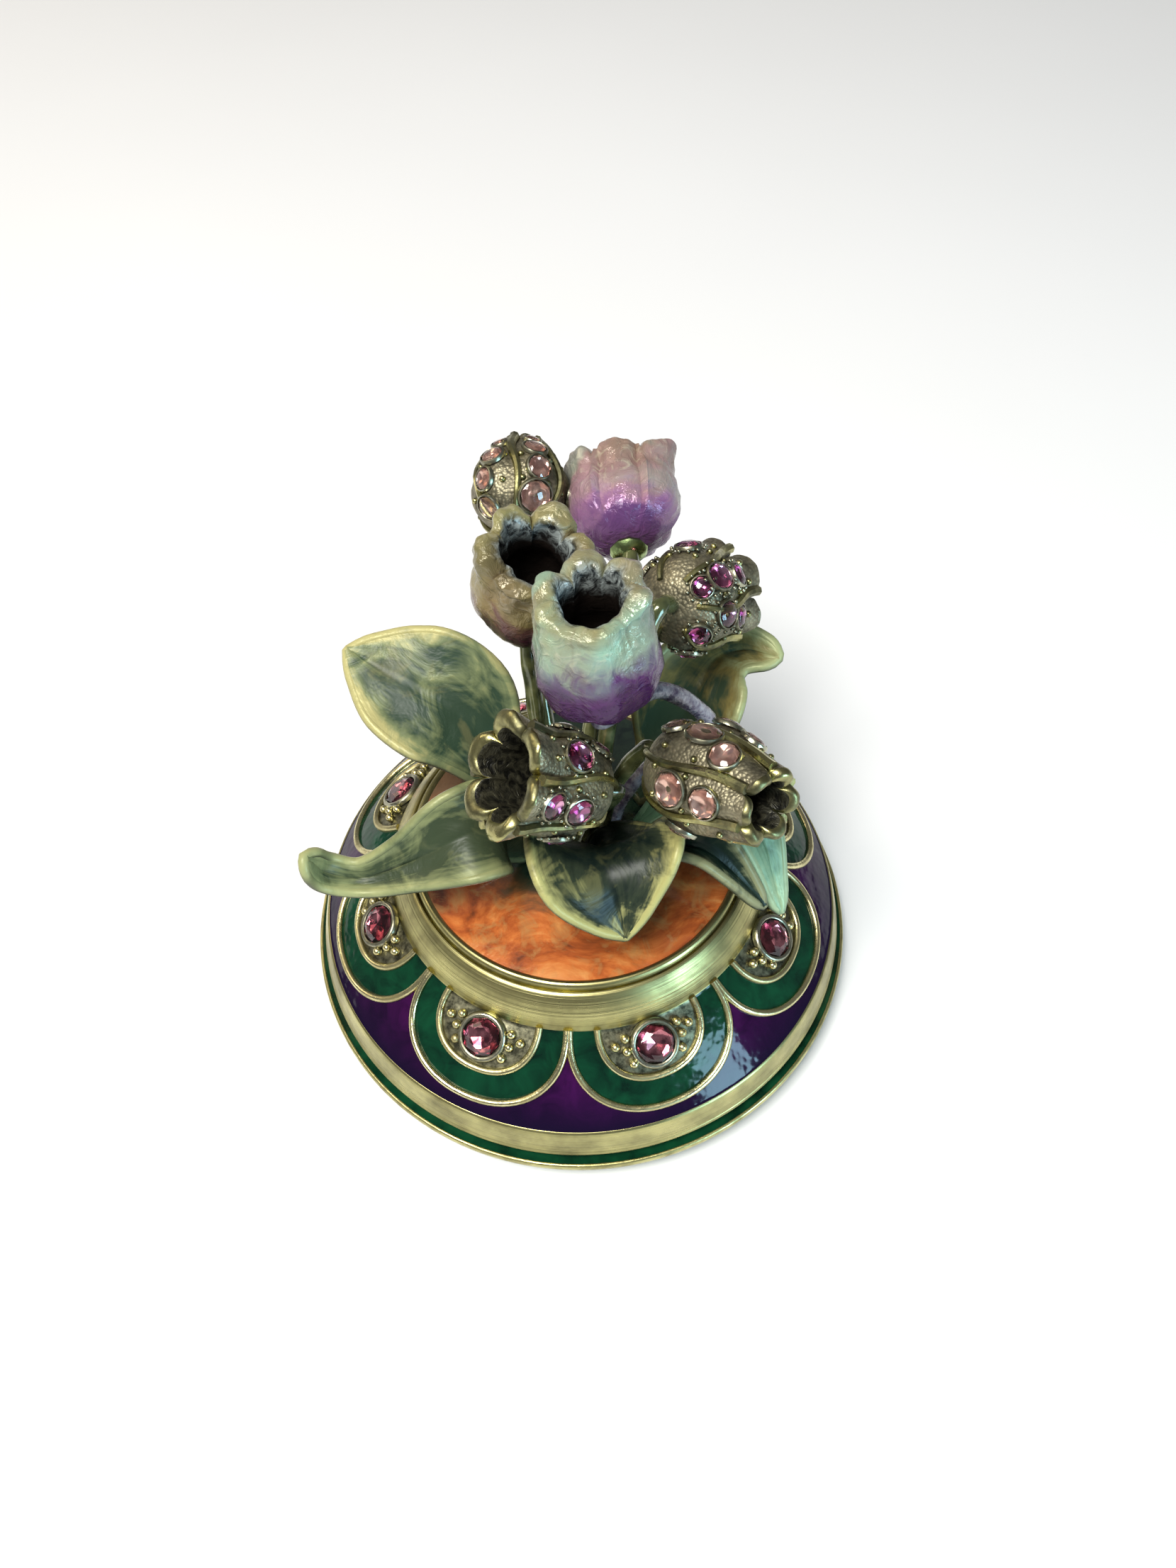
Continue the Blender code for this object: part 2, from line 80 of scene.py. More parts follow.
class Finish:
    """A material under way: its node tree, its shader and short ways to add nodes."""

    def __init__(self, name, **values):
        self.material = bpy.data.materials.new(name)
        self.material.use_nodes = True
        self.tree = self.material.node_tree
        self.shader = self.tree.nodes["Principled BSDF"]
        for socket, value in values.items():
            self.shader.inputs[socket.replace("_", " ")].default_value = value

    def node(self, kind, sockets=(), **settings):
        made = self.tree.nodes.new("ShaderNode" + kind)
        for setting, value in settings.items():
            setattr(made, setting, value)
        for socket, value in dict(sockets).items():
            self.put(made, socket, value)
        return made

    def put(self, node, socket, value):
        if isinstance(value, bpy.types.NodeSocket):
            self.tree.links.new(value, node.inputs[socket])
        else:
            node.inputs[socket].default_value = value

    def place(self):
        return self.node("TexCoord").outputs["Object"]

    def attribute(self, name):
        return self.node("Attribute", attribute_name=name).outputs["Fac"]

    def noise(self, vector, scale, detail=3.0, roughness=0.5, distortion=0.0):
        return self.node("TexNoise", {"Vector": vector, "Scale": scale, "Detail": detail,
                                      "Roughness": roughness, "Distortion": distortion}).outputs["Fac"]

    def ramp(self, factor, *stops):
        made = self.node("ValToRGB", {"Fac": factor})
        elements = made.color_ramp.elements
        while len(elements) < len(stops):
            elements.new(0.5)
        for element, (position, colour) in zip(elements, stops):
            element.position = position
            element.color = (*colour, 1.0)
        return made.outputs["Color"]

    def level(self, factor, low, high, to_low=0.0, to_high=1.0):
        return self.node("MapRange", {"Value": factor, "From Min": low, "From Max": high,
                                      "To Min": to_low, "To Max": to_high}).outputs["Result"]

    def mix(self, factor, first, second):
        """Blends two colours. The mix node's sockets 6 and 7, and its output 2, are the colour ones."""
        return self.node("Mix", {0: factor, 6: first, 7: second}, data_type="RGBA").outputs[2]

    def maths(self, operation, first, second):
        return self.node("Math", {0: first, 1: second}, operation=operation).outputs[0]

    def from_axis(self, parts):
        """The distance of a place from the box's upright axis, from the place's X and Y."""
        squares = [self.maths("MULTIPLY", parts.outputs[name], parts.outputs[name]) for name in "XY"]
        return self.maths("POWER", self.maths("ADD", *squares), 0.5)

    def bump(self, height, distance, strength=1.0):
        made = self.node("Bump", {"Height": height, "Distance": distance, "Strength": strength})
        return made.outputs["Normal"]

    def set(self, **sockets):
        for socket, value in sockets.items():
            self.put(self.shader, socket.replace("_", " "), value)
        return self.material


def brass_finish(name, light, dark, rough=0.34):
    """Antiqued brass: pale gold with darker patina in patches and a fine brushed grain."""
    finish = Finish(name, Metallic=1.0)
    spot = finish.place()
    cloud = finish.noise(spot, 260.0, 4.0, 0.6)
    fine = finish.noise(spot, 900.0, 3.0, 0.6)
    worn = finish.level(finish.maths("ADD", cloud, finish.maths("MULTIPLY", fine, 0.35)), 0.52, 0.80)
    colour = finish.mix(worn, (*dark, 1.0), (*light, 1.0))
    return finish.set(Base_Color=colour, Roughness=finish.level(worn, 0, 1, rough + 0.16, rough - 0.06),
                      Normal=finish.bump(fine, 0.00006))


brass = brass_finish("antique_brass", (0.52, 0.48, 0.21), (0.26, 0.23, 0.10))

ledge = Finish("ledge_enamel", Roughness=0.12, Specular_IOR_Level=0.4)
ledge_cloud = ledge.noise(ledge.place(), 420.0)
ledge_enamel = ledge.set(Base_Color=ledge.ramp(ledge_cloud, (0.35, (0.002, 0.016, 0.008)),
                                               (0.65, (0.004, 0.045, 0.018))))


def dish_point(station, angle, vert):
    radius, height = DISH_PROFILE[station]
    return Vector((radius * math.cos(angle), radius * math.sin(angle), height)) * MM


dish = bmesh.new()
turned(dish, len(DISH_PROFILE), DISH_TURNS, dish_point)
bmesh.ops.remove_doubles(dish, verts=dish.verts, dist=MERGE)
widest, narrowest, lowest, highest = ENAMEL_LEDGE
for face in dish.faces:
    middle = face.calc_center_median() / MM
    inside = narrowest < math.hypot(middle.x, middle.y) < widest and lowest < middle.z < highest
    face.material_index = 1 if inside else 0
finished(dish, "base_dish", [brass, ledge_enamel], ["base"])

# Lid: one cast dome, hollow below. Its edge is a bright rolled lip and a sloping brushed band.
# Above it a purple enamel band with green scallops climbs to a brass ring round an orange disc.
LID_TURNS = 320
BAND_FOOT = (30.0, 8.8)          # where the enamel band starts, radius and height
RING_FOOT = (21.4, 16.0)         # where the brass ring starts
BAND_SWELL = 0.4
ENAMEL_SPAN = (29.86, 21.52)     # radius of the enamel at the band's foot and at the ring
ENAMEL_SINK = 0.12               # how far the enamel lies below the line of the wires
BAND_STEPS = 28
DISC_RADIUS = 17.8
DISC_MIDDLE = 21.7
DISC_CROWN = 1.48
DISC_STEPS = 19
SCALLOPS = 8
SCALLOP_TURN = math.radians(17.5)
ARCH_REACH = 0.84                # share of the band that a green scallop covers
LOBE_REACH = 0.56                # and the jewelled lobe inside it
LOBE_SPREAD = 0.64               # width of a lobe as a share of its scallop
ARCH_FULLNESS = 2.3
BELOW_DISC = 0.06                # faces a little below the disc's edge still take its enamel
BELOW_BAND = 0.6                 # and the same for the band


def band_height(radius):
    climb = (BAND_FOOT[0] - radius) / (BAND_FOOT[0] - RING_FOOT[0])
    return BAND_FOOT[1] + (RING_FOOT[1] - BAND_FOOT[1]) * climb + BAND_SWELL * 4 * climb * (1 - climb)


LID_PROFILE = [(29.26, 4.72), (30.4, 4.7), (30.72, 4.72), (30.92, 4.84), (31.02, 5.06), (31.0, 5.3),
               (30.86, 5.46), (30.8, 5.6), (30.79, 6.2), (30.6, 7.0), (30.32, 8.0), (30.12, 8.62),
               (30.0, 8.8), (29.86, 8.83)]
for step in range(1, BAND_STEPS + 1):
    band_radius = ENAMEL_SPAN[0] - (ENAMEL_SPAN[0] - ENAMEL_SPAN[1]) * step / BAND_STEPS
    LID_PROFILE.append((band_radius, band_height(band_radius) - ENAMEL_SINK))
LID_PROFILE += [(21.44, 15.98), (21.36, 16.25), (21.2, 16.75), (20.95, 17.35), (20.6, 18.0), (20.2, 18.62),
                (19.8, 19.16), (19.45, 19.55), (19.2, 19.76), (19.0, 19.78), (18.9, 19.66), (18.82, 19.42)]
LID_PROFILE += [(18.76, 19.56), (18.7, 19.95), (18.52, 20.28), (18.28, 20.42), (18.04, 20.38), (17.88, 20.26),
                (17.8, 20.18)]
for step in range(1, DISC_STEPS + 1):
    disc_radius = DISC_RADIUS * (1 - step / DISC_STEPS)
    LID_PROFILE.append((disc_radius, DISC_MIDDLE - DISC_CROWN * (disc_radius / DISC_RADIUS) ** 2))
LID_PROFILE += [(0, 19.5), (9.0, 19.2), (15.5, 18.6), (17.2, 18.2), (18.6, 16.4), (19.8, 13.84), (25.0, 11.4),
                (28.4, 9.3), (29.26, 8.32), (29.26, 4.72)]


def scallop_share(angle, radius, reach, spread):
    """How far out a place is in its scallop: 1 lies on the arch, less is inside it."""
    step = 2 * math.pi / SCALLOPS
    off = (angle - SCALLOP_TURN + step / 2) % step - step / 2
    across = abs(off) / (step / 2 * spread)
    along = max(radius - RING_FOOT[0], 0.0) / ((BAND_FOOT[0] - RING_FOOT[0]) * reach)
    return (across ** ARCH_FULLNESS + along ** ARCH_FULLNESS) ** (1 / ARCH_FULLNESS)


lid = bmesh.new()
arch_layer = lid.verts.layers.float.new("arch")
lobe_layer = lid.verts.layers.float.new("lobe")


def lid_point(station, angle, vert):
    radius, height = LID_PROFILE[station]
    vert[arch_layer] = scallop_share(angle, radius, ARCH_REACH, 1.0)
    vert[lobe_layer] = scallop_share(angle, radius, LOBE_REACH, LOBE_SPREAD)
    return Vector((radius * math.cos(angle), radius * math.sin(angle), height)) * MM


turned(lid, len(LID_PROFILE), LID_TURNS, lid_point)
for face in lid.faces:
    middle = face.calc_center_median() / MM
    radius = math.hypot(middle.x, middle.y)
    top = middle.z > DISC_MIDDLE - DISC_CROWN - BELOW_DISC and radius < DISC_RADIUS
    on_band = ENAMEL_SPAN[1] < radius < ENAMEL_SPAN[0] and middle.z > band_height(radius) - BELOW_BAND
    face.material_index = 2 if top else 1 if on_band else 0

turned_brass = Finish("turned_brass", Metallic=1.0)
across_ring = turned_brass.node("SeparateXYZ", {"Vector": turned_brass.place()})
groove_place = turned_brass.node("CombineXYZ", {"X": turned_brass.from_axis(across_ring),
                                                "Y": across_ring.outputs["Z"]}).outputs[0]
turning = turned_brass.noise(groove_place, 5200.0, 2.0, 0.7)
patina = turned_brass.noise(turned_brass.place(), 190.0, 4.0, 0.6)
lid_worn = turned_brass.level(
    turned_brass.maths("ADD", patina, turned_brass.maths("MULTIPLY", turning, 0.4)), 0.5, 0.85)
turned_brass.set(Base_Color=turned_brass.mix(lid_worn, (0.20, 0.18, 0.08, 1), (0.50, 0.46, 0.20, 1)),
                 Roughness=turned_brass.level(lid_worn, 0, 1, 0.42, 0.26),
                 Normal=turned_brass.bump(turning, 0.00005))

band = Finish("band_enamel", Specular_IOR_Level=0.27)
spot = band.place()
marble = band.noise(spot, 330.0, 4.0, 0.6, 0.6)
slow = band.noise(spot, 90.0, 2.0)
height_on_band = band.level(band.node("SeparateXYZ", {"Vector": spot}).outputs["Z"], 0.0088, 0.0125)
purple = band.mix(height_on_band, (0.005, 0.002, 0.014, 1), band.ramp(
    marble, (0.3, (0.010, 0.001, 0.016)), (0.7, (0.036, 0.003, 0.046))))
green = band.ramp(band.maths("ADD", marble, band.maths("MULTIPLY", slow, 0.3)),
                  (0.45, (0.001, 0.010, 0.006)), (0.85, (0.003, 0.042, 0.018)))
metal = band.ramp(band.noise(spot, 1100.0, 3.0, 0.7), (0.38, (0.045, 0.045, 0.030)),
                  (0.68, (0.26, 0.25, 0.16)))
in_arch = band.level(band.attribute("arch"), 0.985, 1.015, 1.0, 0.0)
in_lobe = band.level(band.attribute("lobe"), 0.985, 1.015, 1.0, 0.0)
band.set(Base_Color=band.mix(in_lobe, band.mix(in_arch, purple, green), metal), Metallic=in_lobe,
         Roughness=band.level(in_lobe, 0, 1, 0.10, 0.42),
         Normal=band.bump(band.noise(spot, 420.0, 2.0), 0.00012))

disc = Finish("disc_enamel", Roughness=0.16, Coat_Weight=0.7, Coat_Roughness=0.05)
spot = disc.place()
swirl = disc.noise(spot, 105.0, 5.0, 0.6, 2.6)
vein = disc.noise(spot, 260.0, 4.0, 0.6, 2.2)
pearl = disc.ramp(swirl, (0.28, (0.12, 0.032, 0.012)), (0.44, (0.33, 0.075, 0.018)),
                  (0.56, (0.49, 0.135, 0.032)), (0.72, (0.62, 0.27, 0.08)))
pearl = disc.mix(disc.level(vein, 0.52, 0.68, 0.0, 0.45), pearl, (0.62, 0.34, 0.12, 1))
disc_place = disc.node("SeparateXYZ", {"Vector": spot})
# Painted shade under the bouquet: towards the back the dark middle reaches further out, and the orange pearl
# turns brown.
painted_shade_reach = disc.level(disc_place.outputs["Y"], 0.0, 0.014, 0.0, -0.0098)
painted_shade_behind = disc.level(disc_place.outputs["Y"], -0.002, 0.007, 0.0, 0.92)
pearl = disc.mix(painted_shade_behind, pearl, (0.13, 0.085, 0.045, 1))
ragged = disc.maths("ADD", disc.maths("ADD", disc.from_axis(disc_place), painted_shade_reach),
                    disc.level(swirl, 0.3, 0.7, -0.0022, 0.0022))
moss = disc.ramp(vein, (0.35, (0.004, 0.016, 0.011)), (0.65, (0.035, 0.065, 0.036)))
shade = disc.mix(disc.level(ragged, 0.0078, 0.0098), moss, (0.15, 0.075, 0.03, 1))
disc.set(Base_Color=disc.mix(disc.level(ragged, 0.0094, 0.0118), shade, pearl),
         Metallic=disc.level(vein, 0.45, 0.65, 0.05, 0.3), Normal=disc.bump(swirl, 0.00016, 0.6))
finished(lid, "lid_dome", [turned_brass.material, band.material, disc.material], ["lid"])

# Cloison wires: pale gold wires soldered on the lid's band before it was enamelled.
# One wire outlines each green scallop, and another the jewelled lobe inside it.
WIRE_POINTS = 44
WIRE_LIFT = 0.02
WIRE_RADIUS = 0.40
ARCH_SPREAD = 0.985              # keeps the wires of neighbouring scallops apart
ARCH_START = 0.1                 # how far the ends of a wire stand out from the ring


def band_place(angle, radius, lift):
    """A place on the enamel band, raised square to its slope."""
    slope = math.atan2(band_height(radius - 0.5) - band_height(radius + 0.5), 1.0)
    out = radius + lift * math.sin(slope)
    height = band_height(radius) + lift * math.cos(slope)
    return Vector((out * math.cos(angle), out * math.sin(angle), height)) * MM


def wires(bm, paths, radius, smooth, cyclic=False):
    """Adds round wires along paths of points, or of points with a share of the radius each."""
    curve = bpy.data.curves.new("wire", "CURVE")
    curve.dimensions = "3D"
    curve.bevel_depth = radius * MM
    curve.bevel_resolution = smooth
    curve.use_fill_caps = True
    for path in paths:
        spline = curve.splines.new("POLY")
        spline.points.add(len(path) - 1)
        spline.use_cyclic_u = cyclic
        for point, place in zip(spline.points, path):
            share = 1.0
            if isinstance(place, tuple):
                place, share = place
            point.co = (*place, 1.0)
            point.radius = share
    carrier = bpy.data.objects.new("wire", curve)
    mesh = bpy.data.meshes.new_from_object(carrier)
    bm.from_mesh(mesh)
    bpy.data.objects.remove(carrier)
    bpy.data.meshes.remove(mesh)


def arch_path(scallop, reach, spread):
    """The line of one wire: an arch that stands on the brass ring and reaches down the band."""
    half = math.pi / SCALLOPS * spread
    depth = (BAND_FOOT[0] - RING_FOOT[0]) * reach
    path = []
    for step in range(WIRE_POINTS + 1):
        turn = math.pi * step / WIRE_POINTS
        across = -math.copysign(abs(math.cos(turn)) ** (2 / ARCH_FULLNESS), math.cos(turn))
        along = max(math.sin(turn), 0.0) ** (2 / ARCH_FULLNESS)
        angle = SCALLOP_TURN + 2 * math.pi * scallop / SCALLOPS + half * across
        path.append(band_place(angle, RING_FOOT[0] + ARCH_START + depth * along, WIRE_LIFT))
    return path


cloisons = bmesh.new()
for reach, spread in ((ARCH_REACH, ARCH_SPREAD), (LOBE_REACH, LOBE_SPREAD)):
    wires(cloisons, [arch_path(scallop, reach, spread) for scallop in range(SCALLOPS)], WIRE_RADIUS, 3)
pale_gold = brass_finish("pale_gold", (0.72, 0.66, 0.36), (0.40, 0.35, 0.17), 0.26)
finished(cloisons, "cloison_wires", [pale_gold])

# Lobe settings: in each lobe a round crystal, foil-backed and glued in a plain cup.
# Eight cast beads stand round the cup, four on each side.
STONE_RADIUS = 2.12
STONE_CLIMB = 0.74               # how far up the band the stones stand, from its foot to the ring
STONE_PLACE = BAND_FOOT[0] - STONE_CLIMB * (BAND_FOOT[0] - RING_FOOT[0])
CROWN_FACETS = 8
STONE_LIFT = 0.42
CUP_TURNS = 28
CUP_RIM = 0.62                   # width and height of the cup round a lobe's stone
BEAD_RADIUS = 0.52
BEAD_LIFT = 0.2
BEAD_PLACES = [(side * along, outward) for along, outward in (
    (2.9, -1.3), (3.1, 0.1), (2.7, 1.5), (4.1, -0.6)) for side in (1, -1)]
SLOPE_SHARE = 0.78               # how much of a step down the band's slope goes outwards


def stone(bm, place, radius, glass=0, foil=1):
    """A faceted chaton: table, crown of eight kites and a foil-backed pavilion."""
    rows = [(0.02, -0.17), (0.55, -0.10), (1.0, 0.0), (1.0, 0.05), (0.80, 0.18), (0.56, 0.29), (0.0, 0.29)]
    start = len(bm.faces)
    rings = []
    for index, (share, level) in enumerate(rows):
        ring = bmesh.ops.create_circle(bm, segments=CROWN_FACETS, radius=max(share, 0.001) * radius)["verts"]
        bmesh.ops.translate(bm, verts=ring, vec=(0, 0, level * radius))
        if index in (1, 4):
            half_turn = Matrix.Rotation(math.pi / CROWN_FACETS, 3, "Z")
            bmesh.ops.rotate(bm, verts=ring, cent=(0, 0, 0), matrix=half_turn)
        rings.append(ring)
    for lower, upper in zip(rings, rings[1:]):
        edges = {edge for vert in lower + upper for edge in vert.link_edges}
        edges = [edge for edge in edges if all(vert in lower for vert in edge.verts)
                 or all(vert in upper for vert in edge.verts)]
        bmesh.ops.bridge_loops(bm, edges=edges)
    bm.faces.ensure_lookup_table()
    verts = [vert for ring in rings for vert in ring]
    for face in bm.faces[start:]:
        face.material_index = foil if face.calc_center_median().z < -0.02 * radius else glass
    bmesh.ops.transform(bm, matrix=place, verts=verts)


def lobe_frame(number, tangent=0.0, outward=0.0, lift=0.0):
    """The frame on the band at a lobe's stone, moved along the band and down its slope."""
    radius = STONE_PLACE + outward * SLOPE_SHARE
    angle = SCALLOP_TURN + 2 * math.pi * number / SCALLOPS + tangent / radius
    slope = math.atan2(band_height(radius - 1) - band_height(radius + 1), 2)
    return (Matrix.Translation(band_place(angle, radius, lift)) @ Matrix.Rotation(angle, 4, "Z")
            @ Matrix.Rotation(slope, 4, "Y") @ Matrix.Scale(MM, 4))


def glass_finish(name, tint):
    return Finish(name, Base_Color=(*tint, 1.0), Roughness=0.0, Transmission_Weight=1.0, IOR=1.58).material


def foil_finish(name, light, dark, mirror=1.0):
    finish = Finish(name, Metallic=mirror, Roughness=0.12)
    shade = finish.noise(finish.place(), 900.0, 1.0)
    return finish.set(Base_Color=finish.ramp(shade, (0.4, dark), (0.6, light)))


rose_glass = glass_finish("rose_crystal", (0.95, 0.70, 0.74))
rose_foil = foil_finish("rose_foil", (0.80, 0.40, 0.44), (0.22, 0.06, 0.09))
for number in range(SCALLOPS):
    crystal = bmesh.new()
    stone(crystal, lobe_frame(number, lift=STONE_LIFT), STONE_RADIUS)
    finished(crystal, f"lobe_stone_{number + 1}", [rose_glass, rose_foil],
             [f"lobe_crystal_{number + 1}"], sharp=5)


def join(bm, part, material):
    """Adds a small part to a piece that is under way."""
    for face in part.faces:
        face.material_index = material
    mesh = bpy.data.meshes.new("part")
    part.to_mesh(mesh)
    part.free()
    bm.from_mesh(mesh)
    bpy.data.meshes.remove(mesh)


def cup(bm, place, radius, rim, height, material=0):
    """A plain turned cup round a stone: a ring with a rounded rim."""
    profile = [(rim, -0.1 * height), (rim * 0.96, 0.55 * height), (rim * 0.7, 0.9 * height),
               (rim * 0.35, height), (0.04, 0.82 * height), (0.0, 0.3 * height)]
    part = bmesh.new()

    def cup_point(station, angle, vert):
        width, level = profile[station]
        return Vector(((radius + width) * math.cos(angle), (radius + width) * math.sin(angle), level))

    turned(part, len(profile), CUP_TURNS, cup_point)
    bmesh.ops.remove_doubles(part, verts=part.verts, dist=MERGE)
    bmesh.ops.transform(part, matrix=place, verts=part.verts)
    join(bm, part, material)


def bead(bm, place, radius, material):
    part = bmesh.new()
    bmesh.ops.create_uvsphere(part, u_segments=10, v_segments=6, radius=radius)
    bmesh.ops.transform(part, matrix=place, verts=part.verts)
    join(bm, part, material)


settings = bmesh.new()
for number in range(SCALLOPS):
    cup(settings, lobe_frame(number), STONE_RADIUS - 0.02, CUP_RIM, CUP_RIM)
    for tangent, outward in BEAD_PLACES:
        bead(settings, lobe_frame(number, tangent, outward, BEAD_LIFT), BEAD_RADIUS, 1)
dull_brass = brass_finish("dull_brass", (0.42, 0.41, 0.30), (0.12, 0.115, 0.075), 0.30)
finished(settings, "lobe_settings", [dull_brass, pale_gold])

# Stems: short cast rods under olive enamel, soldered to the disc and to the flowers' feet.
# They bend up from a small circle at the middle of the disc, one to each tulip.
BOUQUET = 42.0                   # height of the bouquet, the measure of all shares below
ENAMEL_LENGTH, JEWEL_LENGTH = 0.350, 0.345      # lengths of a tulip of either kind at a stretch of 1
WAIST = 0.45                     # where a tulip's centre lies, as a share of its length
ROOT_CIRCLE = 0.075
STEM_RADIUS = 0.88
STEM_SINK = 0.4                  # how deep a stem's root goes into the disc
STEM_SOCKET = 0.3                # how deep its top goes into the flower's foot
STEM_APPROACH = 2.2              # where it turns to the flower's own direction
STEM_STEPS = 7
CALYX_SIZE = (2.0, 2.0, 0.9)
CALYX_DROP = 0.5
# Each tulip's name, centre, direction, turn, whether it is jewelled, its stretch, its mouth's width as a
# share of its girth, the turn of its root on the disc, and the places its stem passes.
TULIPS = [
    ("bud_back_left", (-0.106, 0.583, 0.645), (0.03, 0.97, 0.21), 54, True, 0.74, 0.55, 110,
     [(-0.07, 0.20, 0.22), (-0.09, 0.36, 0.52)]),
    ("tulip_back_right", (0.150, 0.526, 0.614), (-0.02, 0.985, 0.156), 22, False, 0.70, 0.76, 72,
     [(0.045, 0.17, 0.22), (0.115, 0.30, 0.50)]),
    ("tulip_upper_left", (-0.080, 0.167, 0.726), (0.123, -0.176, 0.977), 30, False, 0.78, 0.82, 148,
     [(-0.085, 0.105, 0.22), (-0.095, 0.145, 0.44)]),
    ("tulip_centre", (0.052, -0.107, 0.806), (-0.058, 0.074, 0.996), 0, False, 0.94, 0.78, 355,
     [(0.14, 0.02, 0.16), (0.28, 0.035, 0.33), (0.315, 0.02, 0.42), (0.191, -0.024, 0.582)]),
    ("tulip_right", (0.287, 0.230, 0.600), (0.53, 0.65, -0.54), 7, True, 0.68, 0.78, 34,
     [(0.09, 0.12, 0.30), (0.16, 0.09, 0.60)]),
    ("tulip_lower_left", (-0.045, -0.181, 0.462), (-0.764, -0.242, 0.599), 22, True, 0.84, 0.95, 262,
     [(0.035, -0.10, 0.20)]),
    ("tulip_lower_right", (0.290, -0.219, 0.505), (0.629, -0.689, 0.36), 34, True, 1.0, 0.70, 310,
     [(0.085, -0.07, 0.26)]),
]


def bouquet_point(share):
    """A place in the bouquet, from shares of its height, measured from the top of the disc."""
    return (Vector(share) * BOUQUET + Vector((0, 0, DISC_MIDDLE))) * MM


def smooth_path(points, steps):
    """Samples a smooth curve through points."""
    ends = [points[0] * 2 - points[1], *points, points[-1] * 2 - points[-2]]
    path = []
    for index in range(1, len(ends) - 2):
        before, start, stop, after = ends[index - 1:index + 3]
        for step in range(steps):
            t = step / steps
            path.append(0.5 * (2 * start + (stop - before) * t
                               + (2 * before - 5 * start + 4 * stop - after) * t ** 2
                               + (3 * start - before - 3 * stop + after) * t ** 3))
    path.append(points[-1])
    return path


def tulip_length(jewelled, stretch):
    """The length of a tulip in millimetres."""
    return (JEWEL_LENGTH if jewelled else ENAMEL_LENGTH) * BOUQUET * stretch


olive = Finish("stem_enamel", Roughness=0.18, Coat_Weight=0.6)
stem_cloud = olive.noise(olive.place(), 420.0, 3.0)
olive.set(Base_Color=olive.ramp(stem_cloud, (0.35, (0.030, 0.036, 0.014)), (0.55, (0.11, 0.12, 0.045)),
                                (0.72, (0.24, 0.24, 0.11))),
          Metallic=0.3, Normal=olive.bump(stem_cloud, 0.0001))
violet = Finish("violet_stem_enamel", Roughness=0.22, Metallic=0.2)
violet_cloud = violet.noise(violet.place(), 700.0, 3.0, 0.7)
violet.set(Base_Color=violet.ramp(violet_cloud, (0.38, (0.07, 0.05, 0.09)), (0.62, (0.34, 0.32, 0.34))),
           Normal=violet.bump(violet_cloud, 0.0002))
calyx_gold = brass_finish("calyx_gold", (0.36, 0.46, 0.20), (0.12, 0.17, 0.07), 0.28)
for name, centre, axis, _, jewelled, stretch, _, root_turn, ways in TULIPS:
    root = Vector((math.cos(math.radians(root_turn)), math.sin(math.radians(root_turn)), 0)) * ROOT_CIRCLE
    direction = Vector(axis).normalized()
    foot = bouquet_point(centre) - direction * WAIST * tulip_length(jewelled, stretch) * MM
    points = [bouquet_point(root) - Vector((0, 0, STEM_SINK * MM)), *[bouquet_point(way) for way in ways],
              foot - direction * STEM_APPROACH * MM, foot + direction * STEM_SOCKET * MM]
    path = smooth_path(points, STEM_STEPS)
    stem = bmesh.new()
    wires(stem, [[(point, 1.0 + 0.25 * max(0, 1 - step / 5) + 0.06 * math.sin(step * 1.3))
                  for step, point in enumerate(path)]], STEM_RADIUS, 4)
    if name == "tulip_back_right":
        calyx = foot - direction * CALYX_DROP * MM
        bead(stem, Matrix.Translation(calyx) @ direction.to_track_quat("Z", "Y").to_matrix().to_4x4()
             @ Matrix.Diagonal((*[size * MM for size in CALYX_SIZE], 1.0)), 1.0, 1)
    coat = violet.material if name == "tulip_centre" else olive.material
    finished(stem, "stalk_of_" + name, [coat, calyx_gold], ["stem_of_" + name])

# Enamelled tulips: three hollow castings of six petals, three outer ones lapping three inner ones.
# Their petals end in thick rounded lips, and pearly enamel runs from cream and aqua to violet.
FLOWER_TURNS = 144
PETALS = 6
PETAL_RELIEF = 0.07
ENAMEL_GIRTH = 0.131             # radius of a tulip's belly as a share of the bouquet
LOBE_TIP = 0.11
UPRIGHT_MOUTH = 0.66
LIP_FLARE = 0.9
LIP_THICKNESS = 1.75
ROW_STEPS = 4                    # rows from one given row of a tulip to the next
LIP_ROW = 33                     # the row at the top of the lip, where the inside begins
INSIDE_ROWS = 14                 # rows over which the inside darkens from there
PETAL_WOBBLE, LIP_KNOBS = 0.30, 0.35
LAP_TURN = math.radians(31)      # half the width of an outer petal
LAP_STEP = 0.12                  # and how narrow the step beside it is, in radians
TURNED_OUT = {"tulip_right": 0.90, "tulip_back_right": 0.86}     # mouths whose lobes turn further out


def flower_frame(centre, axis, turn, jewelled, stretch):
    """The frame at a tulip's foot, in millimetres, its Z along the flower."""
    direction = Vector(axis).normalized()
    upright = direction.to_track_quat("Z", "Y").to_matrix().to_4x4()
    foot = bouquet_point(centre) - direction * WAIST * tulip_length(jewelled, stretch) * MM
    return (Matrix.Translation(foot) @ upright @ Matrix.Rotation(math.radians(turn), 4, "Z")
            @ Matrix.Scale(MM, 4))


